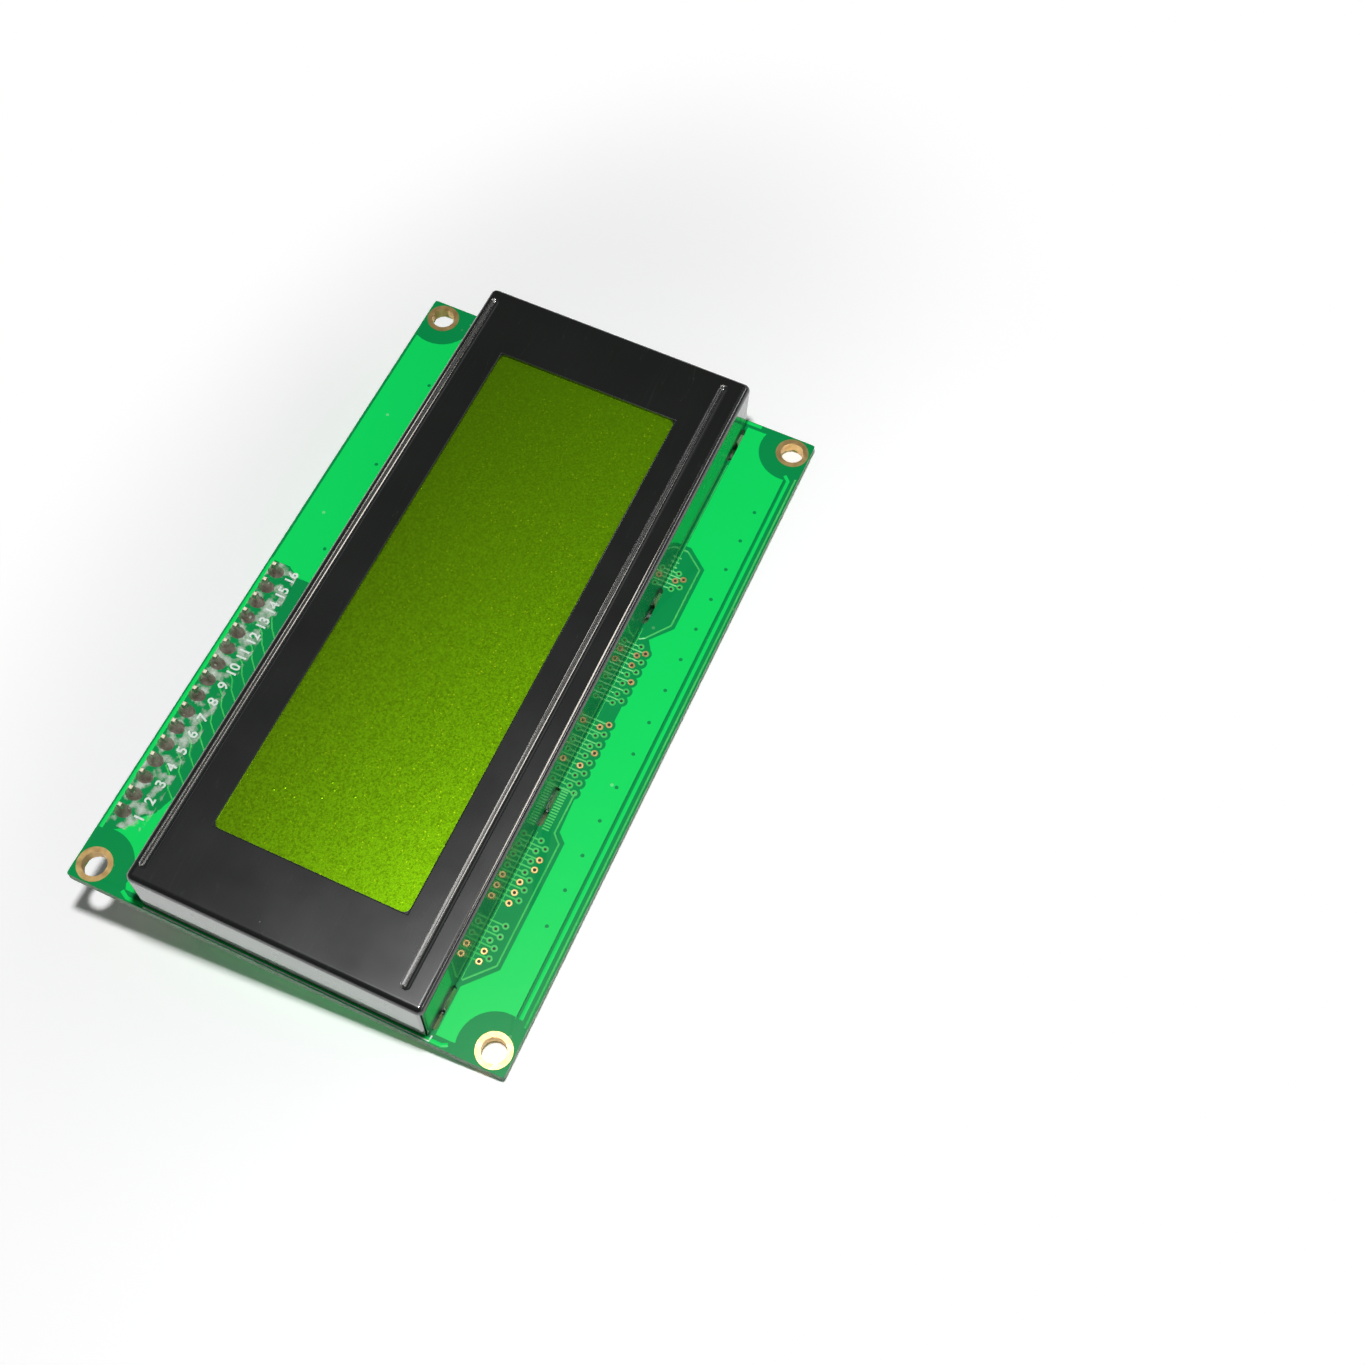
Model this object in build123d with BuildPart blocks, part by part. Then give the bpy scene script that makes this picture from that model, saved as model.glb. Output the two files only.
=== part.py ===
from build123d import *
import os
from math import sqrt

os.makedirs("parts", exist_ok=True)

# The frame: the origin is the centre of the four mounting holes on the back face of the main board.
# +X runs along the lines of characters, +Y points to the long edge with the pin header,
# and +Z leaves the display face. Sizes are millimetres.

# Main board
board_length = 98.0
board_width = 60.0
board_thick = 1.6
board_corner = 0.8
hole_inset = 2.5
hole_diameter = 3.2
ring_width = 0.7
copper = 0.05

# Sheet metal bezel
bezel_margin_x = 0.5
bezel_margin_y = 10.2
bezel_height = 9.35
sheet = 0.5
bend_radius = 0.9
corner_radius = 0.9
seam_width = 0.2
frame_width_x = 10.0
frame_width_y = 6.7
window_corner = 0.9
window_offset = 0.4
bead_margin_x = 1.8
bead_upper_inset = 1.45
bead_lower_inset = 3.3
bead_width = 1.3
bead_height = 0.35

# Twisted fixing tabs and their slots in the main board
tab_inner_x = 15.9
tab_outer_inset = 4.1
tab_neck = 1.1
tab_length = 4.6
tab_drop = 2.3
slot_length = 6.1
slot_clearance = 0.42
tab_pad_width = 2.6

# Glass cell, its films and its contact strips
film_thick = 0.2
glass_thick = 1.1
cell_clearance_x = 1.5
cell_clearance_y = 0.4
contact_ledge = 2.3
film_margin = 1.6
strip_thick = 1.9
strip_clearance = 0.1
strip_end_margin = 1.0

# Backlight
backlight_board_thick = 1.0
guide_inset = 1.5
guide_clearance = 0.2
board_lip = 1.0
lamp_columns = 12
lamp_rows = 2
lamp_end_margin = 5.4
lamp_pitch_y = 14.0
lamp_length = 1.6
lamp_width = 1.0
lamp_height = 0.6
well_diameter = 3.4
well_depth = 3.0
lead_spacing = 15.4
lead_width = 2.2
lead_thick = 0.4
lead_to_bezel = 0.55
lead_tip = 0.75
lead_clearance = 0.15
blob_length = 3.5
blob_width = 1.75
blob_height = 0.6
solder_slope = 25

# Drops of black resin over the bare chips
resin_height = 1.6
resin_radius = 5.2
large_drop_radius = 6.2
large_drop_x = -18.6
large_drop_y = 7.6
upper_drop_x = 7.4
upper_drop_y = 6.9
lower_drop_x = 4.25
lower_drop_y = -9.7
near_drop_x = -25.9
near_drop_y = -9.5
far_drop_x = 27.5
far_drop_y = -0.4

# Small chip parts
chip_length = 2.0
chip_width = 1.25
chip_edge = 0.06
resistor_height = 0.55
capacitor_height = 0.9
lamp_chip_height = 0.8
solder_run = 0.8
solder_rise = 0.4
solder_toe = 0.1
large_chip_length = 3.2
large_chip_width = 1.6

# Resistors on the back of the main board
ladder_count = 5
ladder_x = -32.1
ladder_y = 5.86
ladder_pitch = 2.32
clock_resistor_x = -26.9
clock_resistor_y = 3.4
lamp_resistor_x = 42.2
lamp_resistor_y = 11.4
lamp_resistor_pitch = 3.7

# Bare gold pads on the back of the main board
pad_size = 1.7
pad_gap_short = 2.33
pad_gap_long = 2.8
amp_x = 32.15
amp_y = -11.4
amp_pad_pitch = 1.27
amp_pad_span = 5.7
amp_pad_length = 2.5
amp_pad_width = 0.75
amp_side_pads_x = 5.75
amp_side_parts_x = 7.8
amp_lower_part_y = 4.4
corner_pad_x = -42.1
corner_pad_y = 1.6
second_pad_x = -39.35
second_pad_y = -1.5
link_pad_x = -40.3
link_pad_y = -23.45
link_pad_pitch = 2.5
link_pad_slant = 0.8
link_pad_diameter = 1.5
dot_x = 42.5
dot_y = -22.5
dot_diameter = 1.4

# Pin header between the two boards
pin_pitch = 2.54
pin_count = 16
pin_one_inset = 10.0
header_inset = 2.0
pin_size = 0.64
pin_hole = 1.0
pin_point = 0.15
header_body = 2.54
header_notch = 0.7
pin_front = 2.4
pin_back = 1.4
joint_base = 1.9
joint_top = 1.0
joint_height = 1.1

# Serial adapter board
adapter_length = 41.6
adapter_width = 19.0
adapter_thick = 1.6
adapter_edge = 1.2
adapter_shift = -0.35

# Trimmer. Places on the adapter count from the header row: over from its first pin, and down
trimmer_over = 7.7
trimmer_down = 6.3
trimmer_length = 6.7
trimmer_width = 7.0
trimmer_height = 4.8
trimmer_edge = 0.25
rib_count = 5
rib_pitch = 1.15
rib_width = 0.5
rib_depth = 0.3
rib_height = 3.0
rotor_diameter = 3.0
rotor_depth = 1.2
rotor_clearance = 0.05
rotor_recess = 0.1
rotor_slot = 0.6
rotor_slot_depth = 0.6
trimmer_leg = 0.5
trimmer_leg_spread = 5.08
trimmer_leg_offset = 2.54
leg_hole = 0.8
leg_tip = 1.0
leg_joint_height = 0.7

# Port expander chip
expander_over = 18.6
expander_down = 7.5
expander_length = 10.3
expander_width = 7.5
expander_height = 2.3
expander_standoff = 0.15
expander_draft = 0.35
expander_lead_count = 8
lead_pitch = 1.27
gull_width = 0.42
gull_thick = 0.25
gull_foot = 0.85
gull_reach = 1.4
key_diameter = 1.2
key_depth = 0.15
key_inset = 1.25

# Right angle headers of the adapter
strip_depth = 2.5
strip_height = 2.5
side_header_down = 7.2
pin_axis_height = 1.27
leg_setback = 0.9
pin_bend = 0.5
signal_count = 4
signal_overhang = 1.3
signal_reach = 5.5
link_count = 2
link_edge_inset = 0.1
link_reach = 6.0

# Jumper cap on the two way header
jumper_gap = 0.1
jumper_length = 6.9
jumper_width = 5.0
jumper_height = 2.5
jumper_edge = 0.2
jumper_cavity_width = 3.9
jumper_cavity_height = 1.4
jumper_cavity_depth = 6.1
jumper_window_width = 0.9
jumper_window_length = 3.4
jumper_window_inset = 1.6
jumper_grip_width = 1.7
jumper_grip_depth = 0.6
leaf_thick = 0.2
leaf_clearance = 0.03
leaf_width = 3.6
leaf_inset = 0.8

# Transistor
transistor_over = 32.8
transistor_down = 5.6
transistor_length = 2.9
transistor_width = 1.3
transistor_height = 1.0
transistor_pitch = 0.95
transistor_lead = 0.4
transistor_span = 2.5
transistor_lead_thick = 0.15
transistor_edge = 0.15

# Chip parts of the adapter: upper pair, middle row, lower row
upper_pair_over = 28.35
upper_pair_down = 4.7
upper_pair_pitch = 3.1
middle_row_over = 30.55
middle_row_down = 10.1
middle_row_pitch = 2.45
middle_row_count = 4
lower_row_over = 22.15
lower_row_down = 15.3
lower_row_pitch = 5.35
lower_row_count = 3

# Address pads of the adapter
address_over = 8.1
address_down = 13.85
address_pitch_x = 2.15
address_pitch_y = 1.7
address_pad = 1.05

# Outlines that follow from the sizes above
hole_spacing_x = board_length - 2 * hole_inset
hole_spacing_y = board_width - 2 * hole_inset
bezel_length = board_length - 2 * bezel_margin_x
bezel_width = board_width - 2 * bezel_margin_y
window_length = bezel_length - 2 * frame_width_x
window_width = bezel_width - 2 * frame_width_y
tab_outer_x = bezel_length / 2 - tab_outer_inset
cell_length = bezel_length - 2 * sheet - 2 * cell_clearance_x
front_glass_width = bezel_width - 2 * sheet - 2 * cell_clearance_y
guide_length = cell_length - 2 * guide_inset
lead_x = bezel_length / 2 - sheet - lead_to_bezel - lead_thick / 2
pin_one_x = pin_one_inset - board_length / 2
header_y = board_width / 2 - header_inset
lamp_pitch_x = (guide_length - 2 * lamp_end_margin) / (lamp_columns - 1)

# Levels and places that follow from them
face_z = board_thick + bezel_height
ceiling_z = face_z - sheet
front_film_z = ceiling_z - film_thick
front_glass_z = front_film_z - glass_thick
rear_glass_z = front_glass_z - glass_thick
rear_film_z = rear_glass_z - film_thick
guide_z = board_thick + backlight_board_thick
tab_y = bezel_width / 2 - sheet / 2
slot_width = sheet + 2 * slot_clearance
tab_pad_y = tab_y - slot_width / 2 - tab_pad_width / 2
rear_glass_width = front_glass_width - 2 * contact_ledge
film_length = cell_length - 2 * film_margin
film_width = rear_glass_width - 2 * film_margin
strip_y = rear_glass_width / 2 + strip_clearance + strip_thick / 2
backlight_width = rear_glass_width - 2 * guide_clearance
adapter_near_z = -header_body
adapter_far_z = adapter_near_z - adapter_thick
pin_row_x = pin_one_x + pin_pitch * (pin_count - 1) / 2
adapter_x = pin_row_x + adapter_shift
adapter_y = header_y + adapter_edge - adapter_width / 2
trimmer_x = pin_one_x + trimmer_over
trimmer_y = header_y - trimmer_down
expander_x = pin_one_x + expander_over
expander_y = header_y - expander_down
transistor_x = pin_one_x + transistor_over
transistor_y = header_y - transistor_down
upper_pair_x = pin_one_x + upper_pair_over
upper_pair_y = header_y - upper_pair_down
middle_row_x = pin_one_x + middle_row_over
middle_row_y = header_y - middle_row_down
lower_row_x = pin_one_x + lower_row_over
lower_row_y = header_y - lower_row_down
address_x = pin_one_x + address_over
address_y = header_y - address_down
side_header_y = header_y - side_header_down
signal_outer_x = adapter_x - adapter_length / 2 - signal_overhang
link_outer_x = adapter_x + adapter_length / 2 - link_edge_inset
pin_top_z = board_thick + pin_front
pin_bottom_z = adapter_far_z - pin_back
side_pin_z = adapter_far_z - pin_axis_height
signal_leg_x = signal_outer_x + strip_depth + leg_setback
signal_tip_x = signal_outer_x - signal_reach
link_leg_x = link_outer_x - strip_depth - leg_setback
link_tip_x = link_outer_x + link_reach
leg_bottom_z = adapter_near_z + leg_tip
trimmer_top_z = adapter_far_z - trimmer_height
jumper_near_x = link_outer_x + jumper_gap
jumper_far_x = jumper_near_x + jumper_length

# Places that more than one piece uses
resin_drops = [
    (large_drop_x, large_drop_y, large_drop_radius),
    (upper_drop_x, upper_drop_y, resin_radius),
    (near_drop_x, near_drop_y, resin_radius),
    (lower_drop_x, lower_drop_y, resin_radius),
    (far_drop_x, far_drop_y, resin_radius),
]
tab_places = [(x, s * tab_y) for s in (-1, 1) for x in (-tab_outer_x, -tab_inner_x, tab_inner_x, tab_outer_x)]
tab_twists = [60, 62, -52, -58, -60, -60, 70, 57]
pin_places = [(pin_one_x + pin_pitch * i, header_y) for i in range(pin_count)]
trimmer_leg_places = [
    (trimmer_x - trimmer_leg_spread / 2, trimmer_y - trimmer_leg_offset),
    (trimmer_x + trimmer_leg_spread / 2, trimmer_y - trimmer_leg_offset),
    (trimmer_x, trimmer_y + trimmer_leg_offset),
]
signal_rows = [side_header_y + pin_pitch * (i - (signal_count - 1) / 2) for i in range(signal_count)]
link_rows = [side_header_y + pin_pitch * (i - (link_count - 1) / 2) for i in range(link_count)]
ladder_places = [(ladder_x, ladder_y + ladder_pitch * (i - (ladder_count - 1) / 2)) for i in range(ladder_count)]
lamp_resistor_places = [(lamp_resistor_x + s * lamp_resistor_pitch / 2, lamp_resistor_y) for s in (-1, 1)]
upper_pair = [(upper_pair_x + s * upper_pair_pitch / 2, upper_pair_y) for s in (-1, 1)]
middle_row = [
    (middle_row_x + middle_row_pitch * (i - (middle_row_count - 1) / 2), middle_row_y) for i in range(middle_row_count)
]
lower_row = [
    (lower_row_x + lower_row_pitch * (i - (lower_row_count - 1) / 2), lower_row_y) for i in range(lower_row_count)
]


def save(piece, label):
    """Name a finished piece and write its file."""
    piece.part.label = label
    export_step(piece.part, "parts/" + label + ".step")


# Main board: outline, mounting holes, tab slots, pin holes and slots for the backlight leads
with BuildPart() as lcd_board:
    with BuildSketch():
        RectangleRounded(board_length, board_width, board_corner)
        with GridLocations(hole_spacing_x, hole_spacing_y, 2, 2):
            Circle(hole_diameter / 2 + copper, mode=Mode.SUBTRACT)
        with Locations(*tab_places):
            SlotOverall(slot_length, slot_width, mode=Mode.SUBTRACT)
        with Locations(*pin_places):
            Circle(pin_hole / 2, mode=Mode.SUBTRACT)
        with Locations((lead_x, lead_spacing / 2), (lead_x, -lead_spacing / 2)):
            Rectangle(lead_thick + 2 * lead_clearance, lead_width + 2 * lead_clearance, mode=Mode.SUBTRACT)
    extrude(amount=board_thick)
save(lcd_board, "lcd_board")

# Gold plated barrels of the mounting holes, with a flat ring on each face of the board
with BuildPart() as hole_plating:
    for ring_z in (-copper, board_thick):
        with BuildSketch(Plane.XY.offset(ring_z)):
            with GridLocations(hole_spacing_x, hole_spacing_y, 2, 2):
                Circle(hole_diameter / 2 + ring_width)
        extrude(amount=copper)
    with BuildSketch(Plane.XY):
        with GridLocations(hole_spacing_x, hole_spacing_y, 2, 2):
            Circle(hole_diameter / 2 + copper)
    extrude(amount=board_thick)
    with BuildSketch(Plane.XY.offset(-copper)):
        with GridLocations(hole_spacing_x, hole_spacing_y, 2, 2):
            Circle(hole_diameter / 2)
    extrude(amount=board_thick + 2 * copper, mode=Mode.SUBTRACT)
save(hole_plating, "hole_plating")

# Gold pads beside the tab slots, on the back
with BuildPart() as tab_pads:
    with BuildSketch():
        with Locations(*[(x, tab_pad_y if y > 0 else -tab_pad_y) for x, y in tab_places]):
            SlotOverall(slot_length, tab_pad_width)
    extrude(amount=-copper)
save(tab_pads, "tab_pads")

# Gold pads of the parts that were never fitted, on the back
with BuildPart() as bare_pads:
    with BuildSketch():
        with Locations((amp_x, amp_y)):
            with GridLocations(amp_pad_span, amp_pad_pitch, 2, 4):
                SlotOverall(amp_pad_length, amp_pad_width)
        with Locations((amp_x - amp_side_parts_x, amp_y)):
            with GridLocations(pad_gap_short, pad_gap_short, 2, 2):
                Rectangle(pad_size, pad_size)
        with Locations((amp_x + amp_side_pads_x, amp_y)):
            with GridLocations(pad_gap_long, pad_gap_long, 1, 2):
                Rectangle(pad_size, pad_size)
        with Locations((amp_x, amp_y - amp_lower_part_y)):
            with GridLocations(pad_gap_long, pad_gap_long, 2, 1):
                Rectangle(pad_size, pad_size)
        with Locations((corner_pad_x, corner_pad_y)):
            with GridLocations(pad_gap_short, pad_gap_short, 2, 1):
                Rectangle(pad_size, pad_size)
        with Locations((second_pad_x, second_pad_y)):
            with GridLocations(pad_gap_long, pad_gap_long, 2, 1):
                Rectangle(pad_size, pad_size)
        for side in (-1, 1):
            with Locations((link_pad_x + side * link_pad_slant / 2, link_pad_y + side * link_pad_pitch / 2)):
                Circle(link_pad_diameter / 2)
        with Locations((dot_x, dot_y)):
            Circle(dot_diameter / 2)
    extrude(amount=-copper)
save(bare_pads, "bare_pads")

# Bezel: one folded sheet with a window, two pressed beads and eight twisted tabs
with BuildPart() as bezel_hollow:
    with BuildSketch(Plane.XY.offset(board_thick)):
        RectangleRounded(bezel_length - 2 * sheet, bezel_width - 2 * sheet, corner_radius - sheet)
    extrude(amount=bezel_height - sheet)
    fillet(bezel_hollow.faces().sort_by(Axis.Z)[-1].edges(), bend_radius - sheet)

bead_run = bezel_length / 2 - bead_margin_x - bead_width / 2
with BuildPart() as bead_end:
    with BuildSketch(Plane.XZ):
        with BuildLine():
            Line((0, -sheet), (0, bead_height))
            Spline((0, bead_height), (bead_width / 2, 0), tangents=((1, 0), (1, 0)))
            Line((bead_width / 2, 0), (bead_width / 2, -sheet))
            Line((bead_width / 2, -sheet), (0, -sheet))
        make_face()
    revolve(axis=Axis.Z)

with BuildPart() as bead:
    with BuildSketch(Plane.YZ.offset(-bead_run)):
        with BuildLine():
            Spline((-bead_width / 2, 0), (0, bead_height), tangents=((1, 0), (1, 0)))
            Spline((0, bead_height), (bead_width / 2, 0), tangents=((1, 0), (1, 0)))
            Line((bead_width / 2, 0), (bead_width / 2, -sheet))
            Line((bead_width / 2, -sheet), (-bead_width / 2, -sheet))
            Line((-bead_width / 2, -sheet), (-bead_width / 2, 0))
        make_face()
    extrude(amount=2 * bead_run)
    for side in (-1, 1):
        add(bead_end.part.moved(Location((side * bead_run, 0, 0))))

bead_places = [(0, bezel_width / 2 - bead_upper_inset), (0, bead_lower_inset - bezel_width / 2)]
with BuildPart() as bezel:
    with BuildSketch(Plane.XY.offset(board_thick)):
        RectangleRounded(bezel_length, bezel_width, corner_radius)
    extrude(amount=bezel_height)
    fillet(bezel.faces().sort_by(Axis.Z)[-1].edges(), bend_radius)
    for x, y in bead_places:
        add(bead.part.moved(Location((x, y, face_z))))
    add(bezel_hollow.part, mode=Mode.SUBTRACT)
    with BuildSketch(Plane.XY.offset(ceiling_z)):
        with Locations(*bead_places):
            SlotOverall(bezel_length - 2 * bead_margin_x - bead_width / 2, bead_width / 2)
    extrude(amount=bead_height, mode=Mode.SUBTRACT)
    with BuildSketch(Plane.XY.offset(ceiling_z)):
        with Locations((0, window_offset)):
            RectangleRounded(window_length, window_width, window_corner)
    extrude(amount=sheet + bead_height, mode=Mode.SUBTRACT)
    for side_x in (-1, 1):
        for side_y in (-1, 1):
            seam_place = Location((side_x * bezel_length / 2, side_y * bezel_width / 2), side_x * side_y * 45)
            with BuildSketch(Plane.XY.offset(board_thick)):
                with Locations(seam_place):
                    Rectangle(4 * corner_radius, seam_width)
            extrude(amount=bezel_height - bend_radius, mode=Mode.SUBTRACT)
    for place, twist in zip(tab_places, tab_twists):
        for level, turn in ((board_thick, 0), (board_thick / 2, twist / 2), (-copper, twist)):
            with BuildSketch(Plane.XY.offset(level)):
                with Locations(Location(place, turn)):
                    Rectangle(tab_neck, sheet)
        loft(ruled=True)
        with BuildSketch(Plane.XY.offset(-copper)):
            with Locations(Location(place, twist)):
                Rectangle(tab_length, sheet)
        extrude(amount=-tab_drop)
save(bezel, "bezel")

# Glass cell: polarising films outside, two sheets of glass inside
with BuildPart() as front_film:
    with BuildSketch(Plane.XY.offset(front_film_z)):
        Rectangle(film_length, film_width)
    extrude(amount=film_thick)
save(front_film, "front_film")

with BuildPart() as front_glass:
    with BuildSketch(Plane.XY.offset(front_glass_z)):
        Rectangle(cell_length, front_glass_width)
    extrude(amount=glass_thick)
save(front_glass, "front_glass")

with BuildPart() as rear_glass:
    with BuildSketch(Plane.XY.offset(rear_glass_z)):
        Rectangle(cell_length, rear_glass_width)
    extrude(amount=glass_thick)
save(rear_glass, "rear_glass")

with BuildPart() as rear_film:
    with BuildSketch(Plane.XY.offset(rear_film_z)):
        Rectangle(film_length, film_width)
    extrude(amount=film_thick)
save(rear_film, "rear_film")

# Elastic contact strips between the board and the ledges of the front glass
for strip_name, side in (("contact_strip_upper", 1), ("contact_strip_lower", -1)):
    with BuildPart() as contact_strip:
        with BuildSketch(Plane.XY.offset(board_thick)):
            with Locations((0, side * strip_y)):
                Rectangle(cell_length - 2 * strip_end_margin, strip_thick)
        extrude(amount=front_glass_z - board_thick)
    save(contact_strip, strip_name)

# Backlight: a small board with rows of lamp chips, and a light guide with a well over each chip
with BuildPart() as backlight_board:
    with BuildSketch(Plane.XY.offset(board_thick)):
        Rectangle(guide_length + 2 * board_lip, backlight_width)
    extrude(amount=backlight_board_thick)
    with BuildSketch(Plane.XY.offset(guide_z)):
        with GridLocations(lamp_pitch_x, lamp_pitch_y, lamp_columns, lamp_rows):
            Rectangle(lamp_length, lamp_width)
    extrude(amount=lamp_height)
save(backlight_board, "backlight_board")

with BuildPart() as light_guide:
    with BuildSketch(Plane.XY.offset(guide_z)):
        Rectangle(guide_length, backlight_width)
    extrude(amount=rear_film_z - guide_z)
    with BuildSketch(Plane.XY.offset(guide_z)):
        with GridLocations(lamp_pitch_x, lamp_pitch_y, lamp_columns, lamp_rows):
            Circle(well_diameter / 2)
    extrude(amount=well_depth, mode=Mode.SUBTRACT)
save(light_guide, "light_guide")

# Backlight leads: strips that run off the backlight board and down through the main board
lead_places = [(lead_x, side * lead_spacing / 2) for side in (-1, 1)]
with BuildPart() as backlight_leads:
    for x, y in lead_places:
        with BuildSketch(Plane.XZ.offset(-y - lead_width / 2)):
            with BuildLine():
                Polyline(
                    (guide_length / 2, guide_z),
                    (guide_length / 2, guide_z + lead_thick),
                    (x + lead_thick / 2, guide_z + lead_thick),
                    (x + lead_thick / 2, -lead_tip),
                    (x - lead_thick / 2, -lead_tip),
                    (x - lead_thick / 2, guide_z),
                    close=True,
                )
            make_face()
        extrude(amount=lead_width)
save(backlight_leads, "backlight_leads")

with BuildPart() as backlight_solder:
    with BuildSketch():
        with Locations(*lead_places):
            SlotOverall(blob_length, blob_width, rotation=90)
    extrude(amount=-blob_height, taper=solder_slope)
    with BuildSketch():
        with Locations(*lead_places):
            Rectangle(lead_thick, lead_width)
    extrude(amount=-blob_height, mode=Mode.SUBTRACT)
save(backlight_solder, "backlight_solder")

# Resin drops: each is a spherical cap on the back of the main board
for number, (x, y, radius) in enumerate(resin_drops, start=1):
    ball_radius = (radius**2 + resin_height**2) / (2 * resin_height)
    with BuildPart() as resin_drop:
        with BuildSketch(Plane.XZ.offset(-y)):
            with BuildLine():
                arc_height = sqrt(ball_radius**2 - (radius / 2) ** 2) - (ball_radius - resin_height)
                Line((x, 0), (x + radius, 0))
                ThreePointArc((x + radius, 0), (x + radius / 2, -arc_height), (x, -resin_height))
                Line((x, -resin_height), (x, 0))
            make_face()
        revolve(axis=Axis((x, y, 0), (0, 0, 1)))
    save(resin_drop, "resin_drop_" + str(number))


def chip_block(label, place, level, along_y, length, width, height):
    """A ceramic chip part lying on a board's outer face."""
    with BuildPart() as chip:
        with BuildSketch(Plane.XY.offset(level)):
            with Locations(Location(place, 90 if along_y else 0)):
                Rectangle(length, width)
        extrude(amount=-height)
        chamfer(chip.faces().sort_by(Axis.Z)[0].edges(), chip_edge)
    save(chip, label)


def end_joints(places, level, turn, length, width):
    """Solder that slopes up both ends of each chip part on a board's outer face."""
    with BuildPart() as joints:
        for x, y in places:
            for angle in (turn, turn + 180):
                run = Vector(1, 0, 0).rotate(Axis.Z, angle)
                across = Vector(0, 1, 0).rotate(Axis.Z, angle)
                with BuildSketch(Plane(origin=Vector(x, y, level) - across * width / 2, x_dir=run, z_dir=across)):
                    with BuildLine():
                        toe = length / 2 + solder_run
                        Polyline((length / 2, 0), (toe, 0), (toe, solder_toe), (length / 2, solder_rise), close=True)
                    make_face()
                extrude(amount=width)
    return joints.part


# Resistors on the back of the main board
for number, place in enumerate(ladder_places, start=1):
    chip_block("ladder_resistor_" + str(number), place, 0, False, chip_length, chip_width, resistor_height)
clock_place = (clock_resistor_x, clock_resistor_y)
chip_block("clock_resistor", clock_place, 0, False, chip_length, chip_width, resistor_height)
for number, place in enumerate(lamp_resistor_places, start=1):
    chip_block("lamp_resistor_" + str(number), place, 0, True, large_chip_length, large_chip_width, resistor_height)

# Chip parts of the adapter: two above, four in the middle row and three below
upper_names = ["decoupling_capacitor", "adapter_resistor_1"]
middle_names = ["adapter_resistor_2", "adapter_resistor_3", "adapter_resistor_4", "power_lamp"]
lower_names = ["adapter_resistor_5", "adapter_resistor_6", "adapter_resistor_7"]
chip_heights = {"decoupling_capacitor": capacitor_height, "power_lamp": lamp_chip_height}
upright_parts = list(zip(upper_names + middle_names, upper_pair + middle_row))
for name, place in upright_parts:
    height = chip_heights.get(name, resistor_height)
    chip_block(name, place, adapter_far_z, True, chip_length, chip_width, height)
for name, place in zip(lower_names, lower_row):
    chip_block(name, place, adapter_far_z, False, chip_length, chip_width, resistor_height)

small_board_joints = end_joints(ladder_places + [clock_place], 0, 0, chip_length, chip_width)
large_board_joints = end_joints(lamp_resistor_places, 0, 90, large_chip_length, large_chip_width)
with BuildPart() as board_solder:
    add(small_board_joints)
    add(large_board_joints)
save(board_solder, "board_solder")

upright_joints = end_joints(upper_pair + middle_row, adapter_far_z, 90, chip_length, chip_width)
level_joints = end_joints(lower_row, adapter_far_z, 0, chip_length, chip_width)
with BuildPart() as adapter_solder:
    add(upright_joints)
    add(level_joints)
save(adapter_solder, "adapter_solder")


def notched_strip(count, length_along_y, depth, centre):
    """Outline of a pin strip with a small notch between its ways, drawn in the current sketch."""
    turn = 90 if length_along_y else 0
    with Locations(Location(centre, turn)):
        Rectangle(count * pin_pitch, depth)
        with GridLocations(pin_pitch, depth, count + 1, 2):
            Rectangle(header_notch, header_notch, rotation=45, mode=Mode.SUBTRACT)


# Pin header: plastic strip, sixteen square pins and their solder joints on both boards
with BuildPart() as header_strip:
    with BuildSketch():
        notched_strip(pin_count, False, header_body, (pin_row_x, header_y))
        with Locations(*pin_places):
            Rectangle(pin_size, pin_size, mode=Mode.SUBTRACT)
    extrude(amount=-header_body)
save(header_strip, "header_strip")

with BuildPart() as header_pins:
    with BuildSketch(Plane.XY.offset(pin_bottom_z)):
        with Locations(*pin_places):
            Rectangle(pin_size, pin_size)
    extrude(amount=pin_top_z - pin_bottom_z)
    ends = header_pins.faces().filter_by(Axis.Z)
    chamfer(ends.edges(), pin_point)
save(header_pins, "header_pins")

for joint_name, joint_z, direction in (
    ("header_solder_front", board_thick, 1),
    ("header_solder_back", adapter_far_z, -1),
):
    with BuildPart() as pin_joints:
        for level, diameter in ((joint_z, joint_base), (joint_z + direction * joint_height, joint_top)):
            with BuildSketch(Plane.XY.offset(level)):
                Circle(diameter / 2)
        loft()
        joint = pin_joints.part
    with BuildPart() as solder_joints:
        for x, y in pin_places:
            add(joint.moved(Location((x, y, 0))))
        with BuildSketch(Plane.XY.offset(joint_z)):
            with Locations(*pin_places):
                Rectangle(pin_size, pin_size)
        extrude(amount=direction * joint_height, mode=Mode.SUBTRACT)
    save(solder_joints, joint_name)

# Adapter board
side_leg_places = [(signal_leg_x, y) for y in signal_rows] + [(link_leg_x, y) for y in link_rows]
with BuildPart() as adapter_board:
    with BuildSketch(Plane.XY.offset(adapter_near_z)):
        with Locations((adapter_x, adapter_y)):
            Rectangle(adapter_length, adapter_width)
        with Locations(*pin_places, *side_leg_places):
            Circle(pin_hole / 2, mode=Mode.SUBTRACT)
        with Locations(*trimmer_leg_places):
            Circle(leg_hole / 2, mode=Mode.SUBTRACT)
    extrude(amount=-adapter_thick)
save(adapter_board, "adapter_board")

with BuildPart() as address_pads:
    with BuildSketch(Plane.XY.offset(adapter_far_z)):
        with Locations((address_x, address_y)):
            with GridLocations(address_pitch_x, address_pitch_y, 3, 2):
                Rectangle(address_pad, address_pad)
    extrude(amount=-copper)
save(address_pads, "address_pads")

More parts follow.
